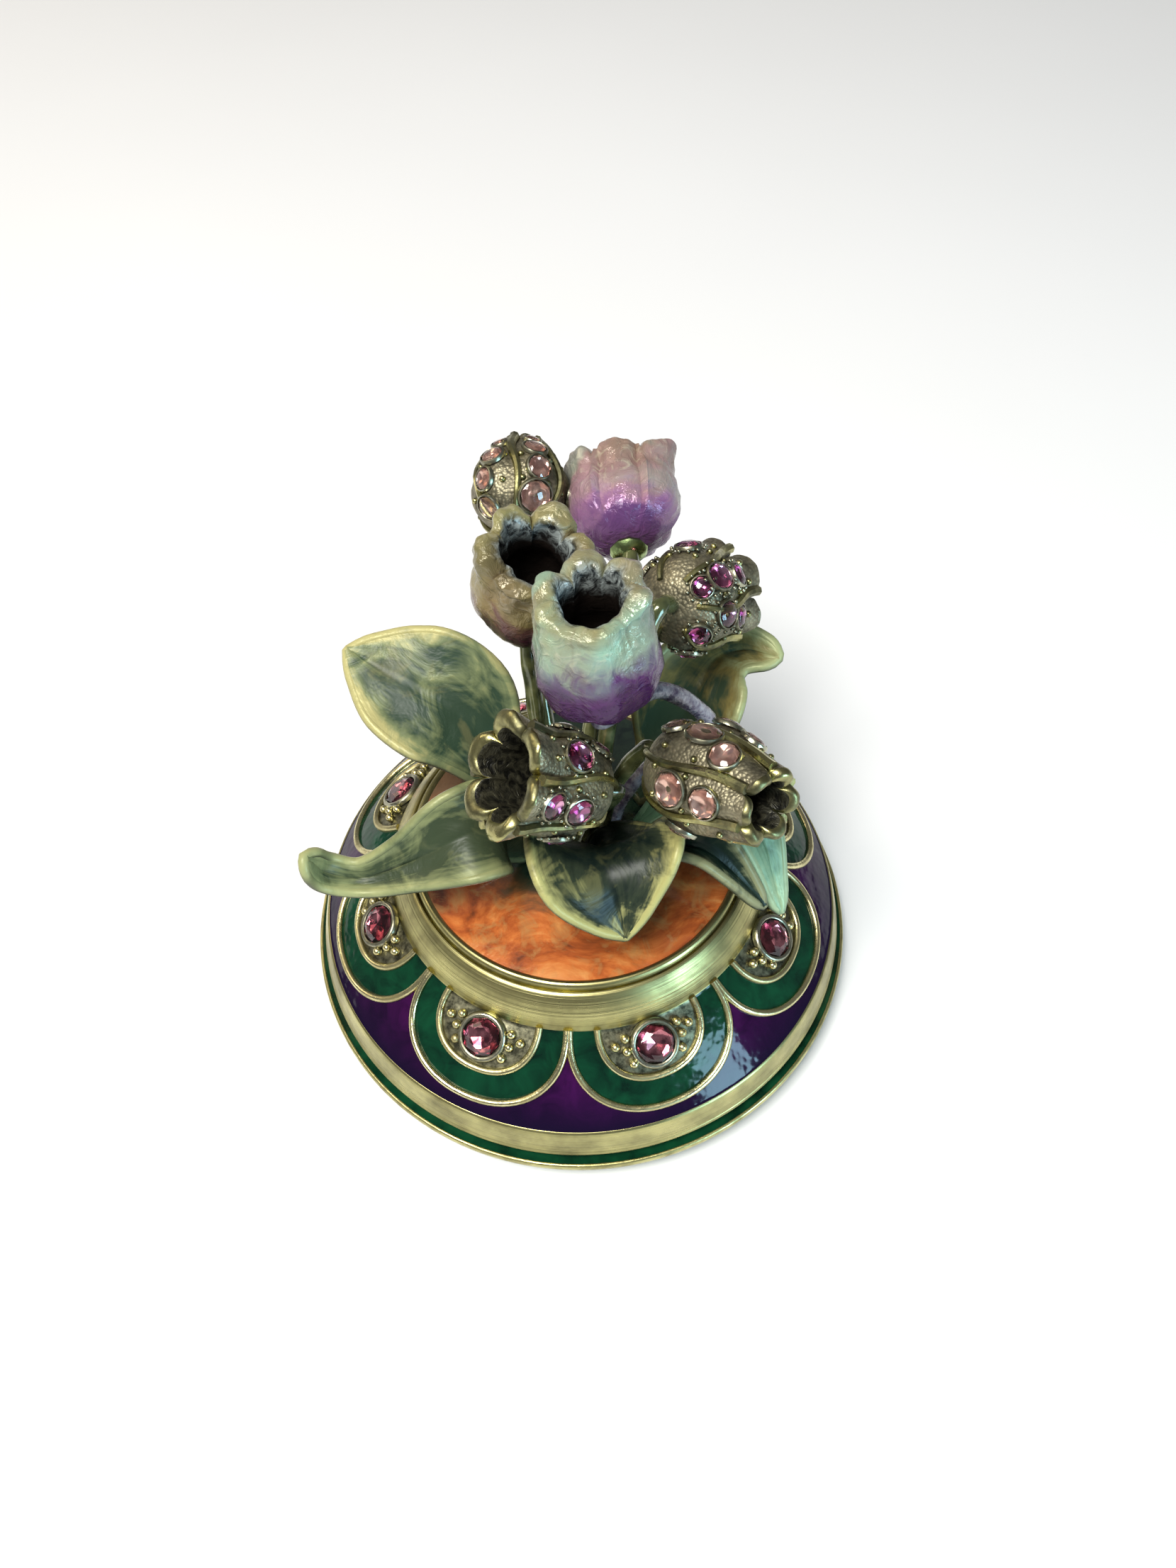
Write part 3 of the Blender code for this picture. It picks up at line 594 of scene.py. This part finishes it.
def tulip_rows(girth, length, mouth, lip, relief):
    """Rows of a tulip: radius, height, relief, flare and lift of the petal tips, from foot to inside."""
    neck = girth * mouth
    lobe = LOBE_TIP * length
    flare = LIP_FLARE * (mouth - UPRIGHT_MOUTH) * girth
    inner = min(0.6 * flare, 1.1 * flare)
    rows = [(0.0, 0.0, 0.0, 0.0, 0.0), (0.30 * girth, 0.012 * length, 0.0, 0.0, 0.0),
            (0.56 * girth, 0.055 * length, 0.2 * relief, 0.0, 0.0),
            (0.87 * girth, 0.19 * length, 0.6 * relief, 0.0, 0.0), (girth, 0.45 * length, relief, 0.0, 0.0),
            (0.55 * girth + 0.45 * neck, 0.70 * length, relief, 0.1 * flare, 0.0),
            (neck, 0.84 * length, relief, 0.8 * flare, 0.6 * lobe),
            (neck - 0.12 * lip, 0.875 * length, relief, flare, 0.9 * lobe),
            (neck - 0.5 * lip, 0.89 * length, relief, 0.9 * flare, lobe),
            (neck - 0.88 * lip, 0.87 * length, relief, 0.8 * inner + 0.1 * flare, 0.88 * lobe),
            (neck - 1.05 * lip, 0.81 * length, 0.8 * relief, 0.8 * inner, 0.5 * lobe),
            (neck - 1.1 * lip, 0.70 * length, 0.3 * relief, 0.3 * inner, 0.0),
            (0.60 * girth, 0.45 * length, 0.0, 0.0, 0.0),
            (0.42 * girth, 0.22 * length, 0.0, 0.0, 0.0), (0.0, 0.16 * length, 0.0, 0.0, 0.0)]
    fine = smooth_path([Vector(row) for row in rows], ROW_STEPS)
    return [(max(row[0], 0.0), *row[1:]) for row in fine]


def petal_at(angle):
    """How full a petal is at an angle: 1 along its middle, 0 in the crease beside it."""
    off = (angle * PETALS / math.pi + 1) % 2 - 1
    return max(0.0, 1 - abs(off) ** 2.2) ** 0.5


def lap_at(angle):
    """Where an outer petal laps its neighbours: 1 on it, 0 beside it, with a narrow step between."""
    off = abs((angle + math.pi / 3) % (2 * math.pi / 3) - math.pi / 3)
    return min(max((LAP_TURN - off) / LAP_STEP + 0.5, 0.0), 1.0)


def tulip_point(row, angle, lap_height=0.0, dip=0.0, facing=0.0):
    """A place on a tulip. Laps raise the outer petals, and a dip presses down the lobes that face one way."""
    radius, height, relief, flare, lift = row
    toward = min(max((math.cos(angle - facing) - 0.30) / 0.5, 0.0), 1.0)
    level = dip * toward * toward * (3 - 2 * toward)
    petal = petal_at(angle) * (1 - level)
    rounded = 0.5 + 0.5 * math.cos(PETALS * angle)
    reach = radius * (1 + relief * (rounded - 0.5)) + flare * (petal + 0.6 * level)
    if lap_height:
        lap = lap_at(angle)
        reach += min(relief * 14, 1.0) * lap_height * (lap - 0.5 + 2.0 * lap * (1 - lap))
    return Vector((reach * math.cos(angle), reach * math.sin(angle), height + lift * petal))


def cast_wobble(point, depth):
    """The slight unevenness of a hand-finished wax pattern."""
    return depth * (noise.noise(point * 0.42) + 0.5 * noise.noise(point * 1.1 + Vector((7, 3, 1))))


# Each flower's four colours from foot to tip, the colour of its patches, how high its petals lap, how far
# its front lobes are pressed down, and how far up the dark foot colour reaches.
ENAMELS = {
    "tulip_back_right": (((0.11, 0.045, 0.135), (0.24, 0.115, 0.22), (0.30, 0.18, 0.20), (0.25, 0.17, 0.13)),
                         (0.24, 0.30, 0.22), 0.95, 0.0, 0.14),
    "tulip_upper_left": (((0.035, 0.006, 0.016), (0.09, 0.031, 0.03), (0.28, 0.23, 0.075), (0.24, 0.23, 0.1)),
                         (0.14, 0.14, 0.06), 0.16, 0.85, 0.33),
    "tulip_centre": (((0.03, 0.004, 0.04), (0.078, 0.018, 0.09), (0.27, 0.32, 0.21), (0.23, 0.22, 0.11)),
                     (0.25, 0.42, 0.31), 0.16, 0.95, 0.37),
}


def petal_enamel(name, tints, sheen, pool):
    """Pearl enamel: its colour runs from foot to tip, with brushed, cloudy patches of a second tint."""
    foot, low, body, tip = tints
    finish = Finish(name, Roughness=0.14, Coat_Weight=0.08, Coat_Roughness=0.06, Specular_IOR_Level=0.27)
    spot = finish.place()
    cloud = finish.noise(spot, 190.0, 4.0, 0.6, 1.2)
    fine = finish.noise(spot, 520.0, 4.0, 0.6, 1.8)
    along = finish.attribute("along")
    mixed = finish.maths("ADD", along, finish.level(cloud, 0.3, 0.7, -0.16, 0.16))
    colour = finish.ramp(mixed, (pool, foot), (pool + 0.13, low), (pool + 0.29, body), (0.95, tip))
    start = max(pool, 0.25)
    patch = finish.level(finish.noise(spot, 120.0, 3.0, 0.5, 0.6), 0.46, 0.62, 0.0, 0.8)
    patch = finish.maths("MULTIPLY", patch, finish.level(along, start, start + 0.35))
    colour = finish.mix(patch, colour, (*sheen, 1))
    stroke = finish.maths("MULTIPLY", finish.level(fine, 0.54, 0.70, 0.0, 0.4),
                          finish.level(along, start + 0.05, start + 0.35))
    colour = finish.mix(stroke, colour, (0.52, 0.50, 0.36, 1))
    colour = finish.mix(finish.attribute("crease"), colour, (0.10, 0.055, 0.03, 1))
    shade = finish.level(finish.noise(spot, 75.0, 3.0, 0.55), 0.35, 0.60, 0.45, 0.0)
    colour = finish.mix(shade, colour, (*low, 1))
    silver = finish.ramp(finish.noise(spot, 900.0, 3.0, 0.7, 1.0), (0.42, (0.020, 0.024, 0.026)),
                         (0.60, (0.30, 0.34, 0.33)))
    inside = finish.attribute("inside")
    colour = finish.mix(finish.level(inside, 0.02, 0.30), colour, silver)
    colour = finish.mix(finish.level(inside, 0.35, 0.70), colour, (0.008, 0.006, 0.005, 1))
    return finish.set(Base_Color=colour, Metallic=finish.level(cloud, 0.4, 0.7, 0.05, 0.25),
                      Normal=finish.bump(fine, 0.0004, 0.7))


for name, centre, axis, turn, jewelled, stretch, mouth, *_ in TULIPS:
    if jewelled:
        continue
    tints, sheen, lap_height, dip, pool = ENAMELS[name]
    girth, length = ENAMEL_GIRTH * BOUQUET, tulip_length(jewelled, stretch)
    rows = tulip_rows(girth, length, TURNED_OUT.get(name, mouth), LIP_THICKNESS, PETAL_RELIEF)
    place = flower_frame(centre, axis, turn, jewelled, stretch)
    front = place.to_3x3().inverted() @ Vector((0, -1, 0))
    facing = math.atan2(front.y, front.x)
    tulip = bmesh.new()
    along_layer = tulip.verts.layers.float.new("along")
    crease_layer = tulip.verts.layers.float.new("crease")
    inside_layer = tulip.verts.layers.float.new("inside")

    def petal_place(station, angle, vert):
        outside = station < LIP_ROW
        point = tulip_point(rows[station], angle, lap_height if outside else 0.0, dip, facing)
        share = point.z / length
        vert[along_layer] = share
        crease = 0.6 * max(1 - petal_at(angle) - 0.6, 0.0) * min(max(share * 2 - 0.8, 0.0), 1.0)
        vert[crease_layer] = crease if outside else 0.0
        vert[inside_layer] = min(max((station - LIP_ROW) / INSIDE_ROWS, 0.0), 1.0)
        if 0 < station < len(rows) - 1:
            knobbly = PETAL_WOBBLE + LIP_KNOBS * min(max(share * 3 - 2, 0.0), 1.0)
            wobble = cast_wobble(point + Vector(centre) * 30, knobbly)
            point += Vector((point.x, point.y, 0)).normalized() * wobble
            if share > 0.8:
                point.z += cast_wobble(point + Vector(centre) * 50, 0.4)
        return point

    turned(tulip, len(rows), FLOWER_TURNS, petal_place)
    bmesh.ops.transform(tulip, matrix=place, verts=tulip.verts)
    finished(tulip, "petals_of_" + name, [petal_enamel(name + "_enamel", tints, sheen, pool)],
             [name])

# Jewelled tulips: four cast flowers in dark antiqued brass with a granular ground.
# Raised ribs edge every petal, and crystals in cups and small beads stand on the panels.
JEWEL_GIRTH = 0.121
JEWEL_SHRINK = 0.97              # leaves room for the ribs and stones
JEWEL_LIP = 0.8                  # thickness of the lip beside an enamelled one's
JEWEL_RELIEF = 0.09
GOLD_ROW, DARK_ROW = 27, 36      # rows where the gilt lip begins, and the dark inside
PANEL_WOBBLE, LIP_WOBBLE = 0.12, 0.30
RIB_RADIUS = 0.52
RIB_STEPS = 24
STONE_CUP = (0.26, 0.38)         # width and height of the cup round a petal's stone
RING_GRAINS = 11
GRAIN_RADIUS = 0.20
PETAL_BEADS = ((-0.30, 0.30), (0.30, 0.30), (-0.34, 0.60), (0.34, 0.60), (-0.20, 0.84), (0.20, 0.84))
PETAL_BEAD_RADIUS = 0.34
jewel_dark = Finish("granular_brass", Metallic=0.75)
spot = jewel_dark.place()
grains = jewel_dark.node("TexVoronoi", {"Vector": spot, "Scale": 2900.0}).outputs["Distance"]
jewel_cloud = jewel_dark.noise(spot, 380.0, 3.0, 0.6)
jewel_shade = jewel_dark.level(
    jewel_dark.maths("SUBTRACT", jewel_cloud, jewel_dark.maths("MULTIPLY", grains, 0.25)), 0.15, 0.55)
jewel_dark.set(Base_Color=jewel_dark.mix(jewel_shade, (0.055, 0.050, 0.032, 1), (0.28, 0.25, 0.16, 1)),
               Roughness=jewel_dark.level(jewel_shade, 0, 1, 0.55, 0.42),
               Normal=jewel_dark.bump(grains, -0.00008))
cavity = Finish("dark_inside", Metallic=0.6)
streaks = cavity.noise(cavity.place(), 900.0, 3.0, 0.7, 1.0)
cavity.set(Base_Color=cavity.ramp(streaks, (0.4, (0.008, 0.008, 0.006)), (0.7, (0.085, 0.080, 0.050))),
           Roughness=0.4, Normal=cavity.bump(streaks, 0.0002))
lip_gold = brass_finish("lip_gold", (0.42, 0.39, 0.17), (0.11, 0.105, 0.055), 0.30)
magenta_glass = glass_finish("magenta_glass", (0.95, 0.79, 0.88))
magenta_foil = foil_finish("magenta_foil", (0.80, 0.43, 0.60), (0.31, 0.09, 0.20))
pale_glass = glass_finish("pale_rose_glass", (0.98, 0.90, 0.84))
pale_foil = foil_finish("pale_rose_foil", (0.86, 0.62, 0.54), (0.46, 0.28, 0.24), 0.75)
ROSY = ("tulip_right", "tulip_lower_left")     # magenta stones, each in a ring of fine grains
# Each stone's angle, its share of the petal's length, and its radius.
STONES = {
    "bud_back_left": (
        (59, 0.61, 1.15), (112, 0.70, 1.15), (115, 0.42, 1.2), (48, 0.36, 1.1), (116, 0.15, 1.6),
        (35, 0.13, 1.2), (59, 0.84, 0.8), (114, 0.87, 0.8), (178, 0.40, 1.0), (234, 0.45, 1.3),
        (294, 0.45, 1.3)),
    "tulip_right": (
        (128, 0.10, 1.0), (125, 0.28, 1.3), (206, 0.14, 1.1), (170, 0.33, 1.25), (129, 0.60, 1.1),
        (175, 0.60, 1.1), (67, 0.45, 1.2), (247, 0.45, 1.2), (307, 0.45, 1.2), (7, 0.45, 1.2)),
    "tulip_lower_left": (
        (76, 0.62, 1.4), (23, 0.84, 1.3), (20, 0.56, 1.35), (103, 0.24, 1.0), (142, 0.45, 1.2),
        (202, 0.45, 1.2), (262, 0.50, 1.2), (322, 0.45, 1.2)),
    "tulip_lower_right": (
        (83, 0.53, 1.6), (95, 0.78, 1.35), (152, 0.52, 1.6), (154, 0.79, 1.4), (81, 0.25, 1.3),
        (214, 0.48, 1.4), (274, 0.50, 1.4), (334, 0.48, 1.4), (34, 0.46, 1.4), (34, 0.72, 1.2)),
}


def row_at(rows, share):
    """The row of a tulip's outside at a share of its length."""
    length = max(row[1] for row in rows)
    for row, after in zip(rows, rows[1:]):
        if row[1] <= share * length <= after[1] and after[1] > row[1]:
            blend = (share * length - row[1]) / (after[1] - row[1])
            return tuple(a + (b - a) * blend for a, b in zip(row, after))
    return rows[-1]


def skin_frame(rows, angle, share):
    """The frame on a tulip's outside, its Z pointing out of the petal."""
    here = tulip_point(row_at(rows, share), angle)
    up = tulip_point(row_at(rows, min(share + 0.02, 0.99)), angle) - tulip_point(
        row_at(rows, max(share - 0.02, 0.01)), angle)
    beside = tulip_point(row_at(rows, share), angle + 0.02) - tulip_point(row_at(rows, share), angle - 0.02)
    out = beside.cross(up).normalized()
    side = up.normalized().cross(out)
    return Matrix.Translation(here) @ Matrix((side, up.normalized(), out)).transposed().to_4x4()


def join_wires(bm, paths, radius, material):
    """Adds wires to a piece that is still in millimetres."""
    part = bmesh.new()
    wires(part, [[(point * MM, share) for point, share in path] for path in paths], radius, 2)
    bmesh.ops.scale(part, vec=(1 / MM, 1 / MM, 1 / MM), verts=part.verts)
    join(bm, part, material)


for name, centre, axis, turn, jewelled, stretch, mouth, *_ in TULIPS:
    if not jewelled:
        continue
    girth, length = JEWEL_GIRTH * BOUQUET * JEWEL_SHRINK, tulip_length(jewelled, stretch)
    rows = tulip_rows(girth, length, TURNED_OUT.get(name, mouth), LIP_THICKNESS * JEWEL_LIP, JEWEL_RELIEF)
    tulip = bmesh.new()
    inside_layer = tulip.verts.layers.float.new("inside")

    def panel_place(station, angle, vert):
        vert[inside_layer] = station
        point = tulip_point(rows[station], angle)
        if 0 < station < len(rows) - 1:
            depth = LIP_WOBBLE if 26 < station < 40 else PANEL_WOBBLE
            wobble = cast_wobble(point + Vector(centre) * 30, depth)
            point += Vector((point.x, point.y, 0)).normalized() * wobble
        return point

    turned(tulip, len(rows), FLOWER_TURNS, panel_place)
    for face in tulip.faces:
        station = sum(vert[inside_layer] for vert in face.verts) / len(face.verts)
        face.material_index = 0 if station < GOLD_ROW else 1 if station < DARK_ROW else 5
    ribs = []
    for petal in range(PETALS):
        path = []
        for step in range(RIB_STEPS + 1):
            share = 0.05 + 0.92 * step / RIB_STEPS
            angle = (petal + 0.5) * math.pi / 3 + 0.13 * math.sin(5 * share)
            path.append((skin_frame(rows, angle, share) @ Vector((0, 0, 0.16)), 0.55 + 0.5 * share))
        ribs.append(path)
    join_wires(tulip, ribs, RIB_RADIUS, 1)
    for angle, share, size in STONES[name]:
        place = skin_frame(rows, math.radians(angle - turn), share)
        cup(tulip, place, size * 0.99, *STONE_CUP, 2)
        stone(tulip, place @ Matrix.Translation((0, 0, STONE_CUP[0])), size, 3, 4)
        if name in ROSY:
            for step in range(RING_GRAINS):
                turned_place = place @ Matrix.Rotation(2 * math.pi * step / RING_GRAINS, 4, "Z")
                bead(tulip, turned_place @ Matrix.Translation((size + 0.48, 0, 0.0)), GRAIN_RADIUS, 2)
    for petal in range(PETALS):
        for side, share in PETAL_BEADS:
            place = skin_frame(rows, petal * math.pi / 3 + side, share)
            bead(tulip, place @ Matrix.Translation((0, 0, 0.06)), PETAL_BEAD_RADIUS, 1)
    bmesh.ops.transform(tulip, matrix=flower_frame(centre, axis, turn, jewelled, stretch), verts=tulip.verts)
    glass, foil = (magenta_glass, magenta_foil) if name in ROSY else (pale_glass, pale_foil)
    metals = [jewel_dark.material, lip_gold, dull_brass]
    finished(tulip, "petals_of_" + name, [*metals, glass, foil, cavity.material], [name],
             sharp=38)

# Leaves: six thin cast blades, cupped and folded along the middle, soldered by their roots.
# Green enamel brushed along them is dark at the root and in the fold, and paler on the rolled edges.
LEAF_ROWS = 10                   # rows between two places of a leaf's spine
LEAF_COLUMNS = 20
LEAF_HALF_THICKNESS = 0.50
RIM_ROLL = 1.12                  # radius of the rolled rim as a share of half the thickness
TIP_START, TIP_LENGTH = 0.93, 0.07   # where a leaf starts to round off, and over what share of it
FOLD_DEPTH, FOLD_WIDTH = 0.30, 0.14
RIPPLE = 0.16
LEAF_WOBBLE = 0.16
# Each leaf's name, spine, half widths along it, facing at the root and at the tip, and how deep it cups.
LEAVES = [
    ("leaf_back_left", [(-0.14, 0.03, 0.02), (-0.20, 0.05, 0.23), (-0.285, 0.12, 0.36),
                        (-0.42, 0.185, 0.415), (-0.545, 0.26, 0.44)],
     [0.03, 0.07, 0.148, 0.13, 0.02], [(0.3, -0.6, 0.75), (0.2, -0.6, 0.8)], 0.15),
    ("leaf_front_left", [(-0.13, -0.07, 0.02), (-0.18, -0.11, 0.18), (-0.27, -0.165, 0.235),
                         (-0.41, -0.19, 0.17), (-0.53, -0.20, 0.125), (-0.615, -0.203, 0.16),
                         (-0.645, -0.219, 0.25)],
     [0.03, 0.10, 0.105, 0.062, 0.038, 0.038, 0.028], [(0.0, -0.5, 0.85), (0.5, -0.4, 0.7)], 0.25),
    ("leaf_front", [(0.0, -0.16, 0.02), (0.045, -0.175, 0.13), (0.055, -0.225, 0.245),
                    (0.065, -0.31, 0.26), (0.100, -0.407, 0.152)],
     [0.035, 0.10, 0.165, 0.155, 0.02], [(0.0, 0.2, 1.0), (0.1, -0.6, 0.7)], 0.35),
    ("leaf_front_right", [(0.12, -0.13, 0.02), (0.21, -0.165, 0.15), (0.315, -0.20, 0.165),
                          (0.45, -0.275, 0.035)],
     [0.02, 0.05, 0.05, 0.012], [(-0.2, 0.2, 1.0), (0.3, -0.3, 0.9)], 0.7),
    ("leaf_right", [(0.16, -0.02, 0.02), (0.29, -0.015, 0.175), (0.43, -0.12, 0.16),
                    (0.503, -0.262, -0.02)],
     [0.02, 0.05, 0.06, 0.015], [(0.2, 0.1, 1.0), (0.5, -0.7, 0.4)], 0.2),
    ("leaf_back_right", [(0.16, 0.09, 0.02), (0.25, 0.12, 0.14), (0.30, 0.18, 0.28),
                         (0.36, 0.25, 0.35), (0.43, 0.27, 0.37), (0.52, 0.24, 0.375)],
     [0.03, 0.09, 0.13, 0.10, 0.06, 0.025], [(-0.3, -0.5, 0.8), (-0.2, -0.5, 0.9)], 0.3),
]
# Each leaf's colours at the root, between and at the edge.
LEAF_TINTS = {
    "leaf_back_left": ((0.025, 0.048, 0.028), (0.15, 0.18, 0.085), (0.40, 0.37, 0.16)),
    "leaf_front_left": ((0.034, 0.048, 0.024), (0.17, 0.19, 0.085), (0.30, 0.31, 0.14)),
    "leaf_front": ((0.004, 0.009, 0.007), (0.024, 0.032, 0.018), (0.36, 0.34, 0.13)),
    "leaf_front_right": ((0.004, 0.012, 0.008), (0.016, 0.030, 0.018), (0.24, 0.24, 0.12)),
    "leaf_right": ((0.09, 0.18, 0.10), (0.22, 0.36, 0.22), (0.32, 0.42, 0.24)),
    "leaf_back_right": ((0.030, 0.052, 0.028), (0.19, 0.155, 0.050), (0.32, 0.34, 0.16)),
}


def leaf_enamel(name, root, between, edge):
    """Translucent enamel brushed along the leaf: dark at the root and in the fold, paler to tip and rim, with
    painted shade on faces turned down.
    """
    blade = Finish(name, Roughness=0.38, Specular_IOR_Level=0.22)
    spot = blade.place()
    across, along = blade.attribute("across"), blade.attribute("along")
    streak_place = blade.node("CombineXYZ", {"X": blade.maths("MULTIPLY", blade.attribute("offset"), 4.5),
                                             "Y": blade.maths("MULTIPLY", along, 3.5)}).outputs[0]
    streak = blade.noise(streak_place, 1.0, 4.0, 0.6, 1.2)
    cloud = blade.noise(spot, 170.0, 4.0, 0.6, 1.0)
    reach = blade.maths("ADD", blade.maths("MULTIPLY", blade.maths("POWER", across, 3.0), 0.42),
                        blade.maths("MULTIPLY", along, 0.62))
    reach = blade.maths("ADD", reach, blade.maths("ADD", blade.level(streak, 0.3, 0.7, -0.09, 0.09),
                                                  blade.level(cloud, 0.3, 0.7, -0.26, 0.26)))
    colour = blade.ramp(reach, (0.34, root), (0.58, between), (0.84, edge))
    colour = blade.mix(blade.level(blade.noise(spot, 260.0, 3.0, 0.6, 1.0), 0.56, 0.72, 0.0, 0.35), colour,
                       tuple(0.5 * part for part in edge) + (1.0,))
    # Painted shade: the side value darkens faces turned down, and the outer face of the rolled rim, to near
    # black.
    colour = blade.mix(blade.attribute("side"), colour, (0.010, 0.013, 0.009, 1))
    return blade.set(Base_Color=colour, Metallic=blade.level(cloud, 0.4, 0.7, 0.0, 0.15),
                     Normal=blade.bump(cloud, 0.00045, 0.6))


def finish_leaf(leaf, name, rim, layers):
    """Thickens a leaf about its middle and rounds its rim with a roll of the same enamel."""
    half = LEAF_HALF_THICKNESS * MM
    normals = {vert: vert.normal.copy() for vert in leaf.verts}
    for vert, normal in normals.items():
        vert.co += normal * half
    bmesh.ops.solidify(leaf, geom=leaf.faces[:], thickness=2 * half)
    before = len(leaf.verts)
    wires(leaf, [[place for place, share in rim]], LEAF_HALF_THICKNESS * RIM_ROLL, 3, cyclic=True)
    leaf.verts.ensure_lookup_table()
    for vert in leaf.verts[before:]:
        vert[layers["across"]] = 1.0
        nearest = min(rim, key=lambda place: (place[0] - vert.co).length_squared)
        vert[layers["along"]] = nearest[1]
    leaf.normal_update()
    leaf.verts.index_update()
    # The side value is painted shade: it grows where a face points down, and more on the rolled rim.
    for vert in leaf.verts:
        start = 0.6 if vert.index >= before else 0.1
        vert[layers["side"]] = min(max(start - 1.8 * vert.normal.z, 0.0), 1.0)
    finished(leaf, "blade_of_" + name, [leaf_enamel(name + "_enamel", *LEAF_TINTS[name])],
             [name], sharp=60)


for name, spine, widths, face, cup_depth in LEAVES:
    middles = smooth_path([bouquet_point(point) / MM for point in spine], LEAF_ROWS)
    halves = smooth_path([Vector((width, 0, 0)) * BOUQUET for width in widths], LEAF_ROWS)
    last = len(middles) - 1
    leaf = bmesh.new()
    layers = {layer: leaf.verts.layers.float.new(layer) for layer in ("across", "along", "offset", "side")}
    bmesh.ops.create_grid(leaf, x_segments=LEAF_COLUMNS, y_segments=last, size=1.0)
    edges = {-1: [], 1: []}
    for vert in leaf.verts:
        offset, share = vert.co.x, (vert.co.y + 1) / 2
        index = round(share * last)
        rounding = max(1 - (max(share - TIP_START, 0.0) / TIP_LENGTH) ** 2, 0.04) ** 0.5
        middle, half = middles[index], halves[index].x * rounding
        forward = (middles[min(index + 1, last)] - middles[max(index - 1, 0)]).normalized()
        side = forward.cross(Vector(face[0]).lerp(Vector(face[1]), share)).normalized()
        normal = side.cross(forward)
        fold = -FOLD_DEPTH * math.exp(-(offset / FOLD_WIDTH) ** 2) * math.sin(math.pi * share)
        ripple = RIPPLE * math.sin(9 * share + 3 * offset) * abs(offset)
        wobble = cast_wobble(Vector((offset * 4, share * 9, half)), LEAF_WOBBLE)
        vert.co = (middle + side * half * offset
                   + normal * (cup_depth * half * offset ** 2 + fold + ripple + wobble)) * MM
        for layer, value in (("across", abs(offset)), ("along", share), ("offset", offset)):
            vert[layers[layer]] = value
        if abs(abs(offset) - 1) < 1e-4:
            edges[round(offset)].append((index, vert.co.copy(), share))
    bmesh.ops.recalc_face_normals(leaf, faces=leaf.faces)
    rim = []
    for side in (-1, 1):
        line = [(point, share) for index, point, share in sorted(edges[side], key=lambda entry: entry[0])]
        rim += line if side < 0 else line[::-1]
    finish_leaf(leaf, name, rim, layers)

# Set: a plain pale floor, a pale room, a soft light above, a cool window on the right, a warm lamp behind.
# The camera stands where the photographer stood, above the front of the box.
FLOOR_SIZE = 3.0
AIM = Vector((0, 0, 0.03))       # every light points at the middle of the box
paper = Finish("pale_floor", Roughness=0.9)
paper_shade = paper.noise(paper.place(), 8.0)
paper.set(Base_Color=paper.ramp(paper_shade, (0.3, (0.71, 0.71, 0.71)), (0.7, (0.73, 0.73, 0.73))))
floor_shape = bmesh.new()
bmesh.ops.create_grid(floor_shape, x_segments=1, y_segments=1, size=FLOOR_SIZE / 2)
floor_mesh = bpy.data.meshes.new("floor")
floor_shape.to_mesh(floor_mesh)
floor_shape.free()
floor_mesh.materials.append(paper.material)
floor = bpy.data.objects.new("floor", floor_mesh)
bpy.context.collection.objects.link(floor)

world = bpy.data.worlds.new("room")
world.use_nodes = True
sky = world.node_tree.nodes["Background"]
sky.inputs["Color"].default_value = (0.95, 0.95, 1.0, 1.0)
sky.inputs["Strength"].default_value = 0.17
bpy.context.scene.world = world


def soft_light(name, place, size, power, colour):
    lamp = bpy.data.lights.new(name, "AREA")
    lamp.shape = "RECTANGLE"
    lamp.size, lamp.size_y = size
    lamp.energy = power
    lamp.color = colour
    light = bpy.data.objects.new(name, lamp)
    light.location = place
    light.rotation_euler = (AIM - Vector(place)).to_track_quat("-Z", "Y").to_euler()
    bpy.context.collection.objects.link(light)


soft_light("overhead", (-0.18, -0.20, 0.62), (0.30, 0.30), 7.0, (1.0, 0.98, 0.94))
soft_light("window", (0.42, -0.40, 0.14), (0.18, 0.28), 2.4, (0.45, 0.79, 1.0))
soft_light("lamp", (-0.46, 0.26, 0.40), (0.30, 0.30), 0.8, (1.0, 0.86, 0.66))

SENSOR_WIDTH = 36.0
FOCAL_PIXELS, PHOTO_PIXELS = 1650, 2212      # fitted focal length, and the photo's longer side
RIM = 0.032                                  # the camera's place was fitted in radii of the rim
lens = bpy.data.cameras.new("camera")
lens.sensor_width = SENSOR_WIDTH
lens.lens = FOCAL_PIXELS / PHOTO_PIXELS * SENSOR_WIDTH
lens.clip_start = 0.005
camera = bpy.data.objects.new("camera", lens)
look = Vector((0.01047178, 0.57754103, -0.81629449))
right = Vector((0.99906072, -0.04036996, -0.01574598))
up = Vector((0.04204773, 0.81536288, 0.57742131))
stand = Vector((0.0, -2.21754876 * RIM, 3.97761153 * RIM + 0.003))
camera.matrix_world = Matrix.Translation(stand) @ Matrix((right, up, -look)).transposed().to_4x4()
bpy.context.collection.objects.link(camera)
bpy.context.scene.camera = camera
bpy.context.scene.view_settings.view_transform = "Standard"
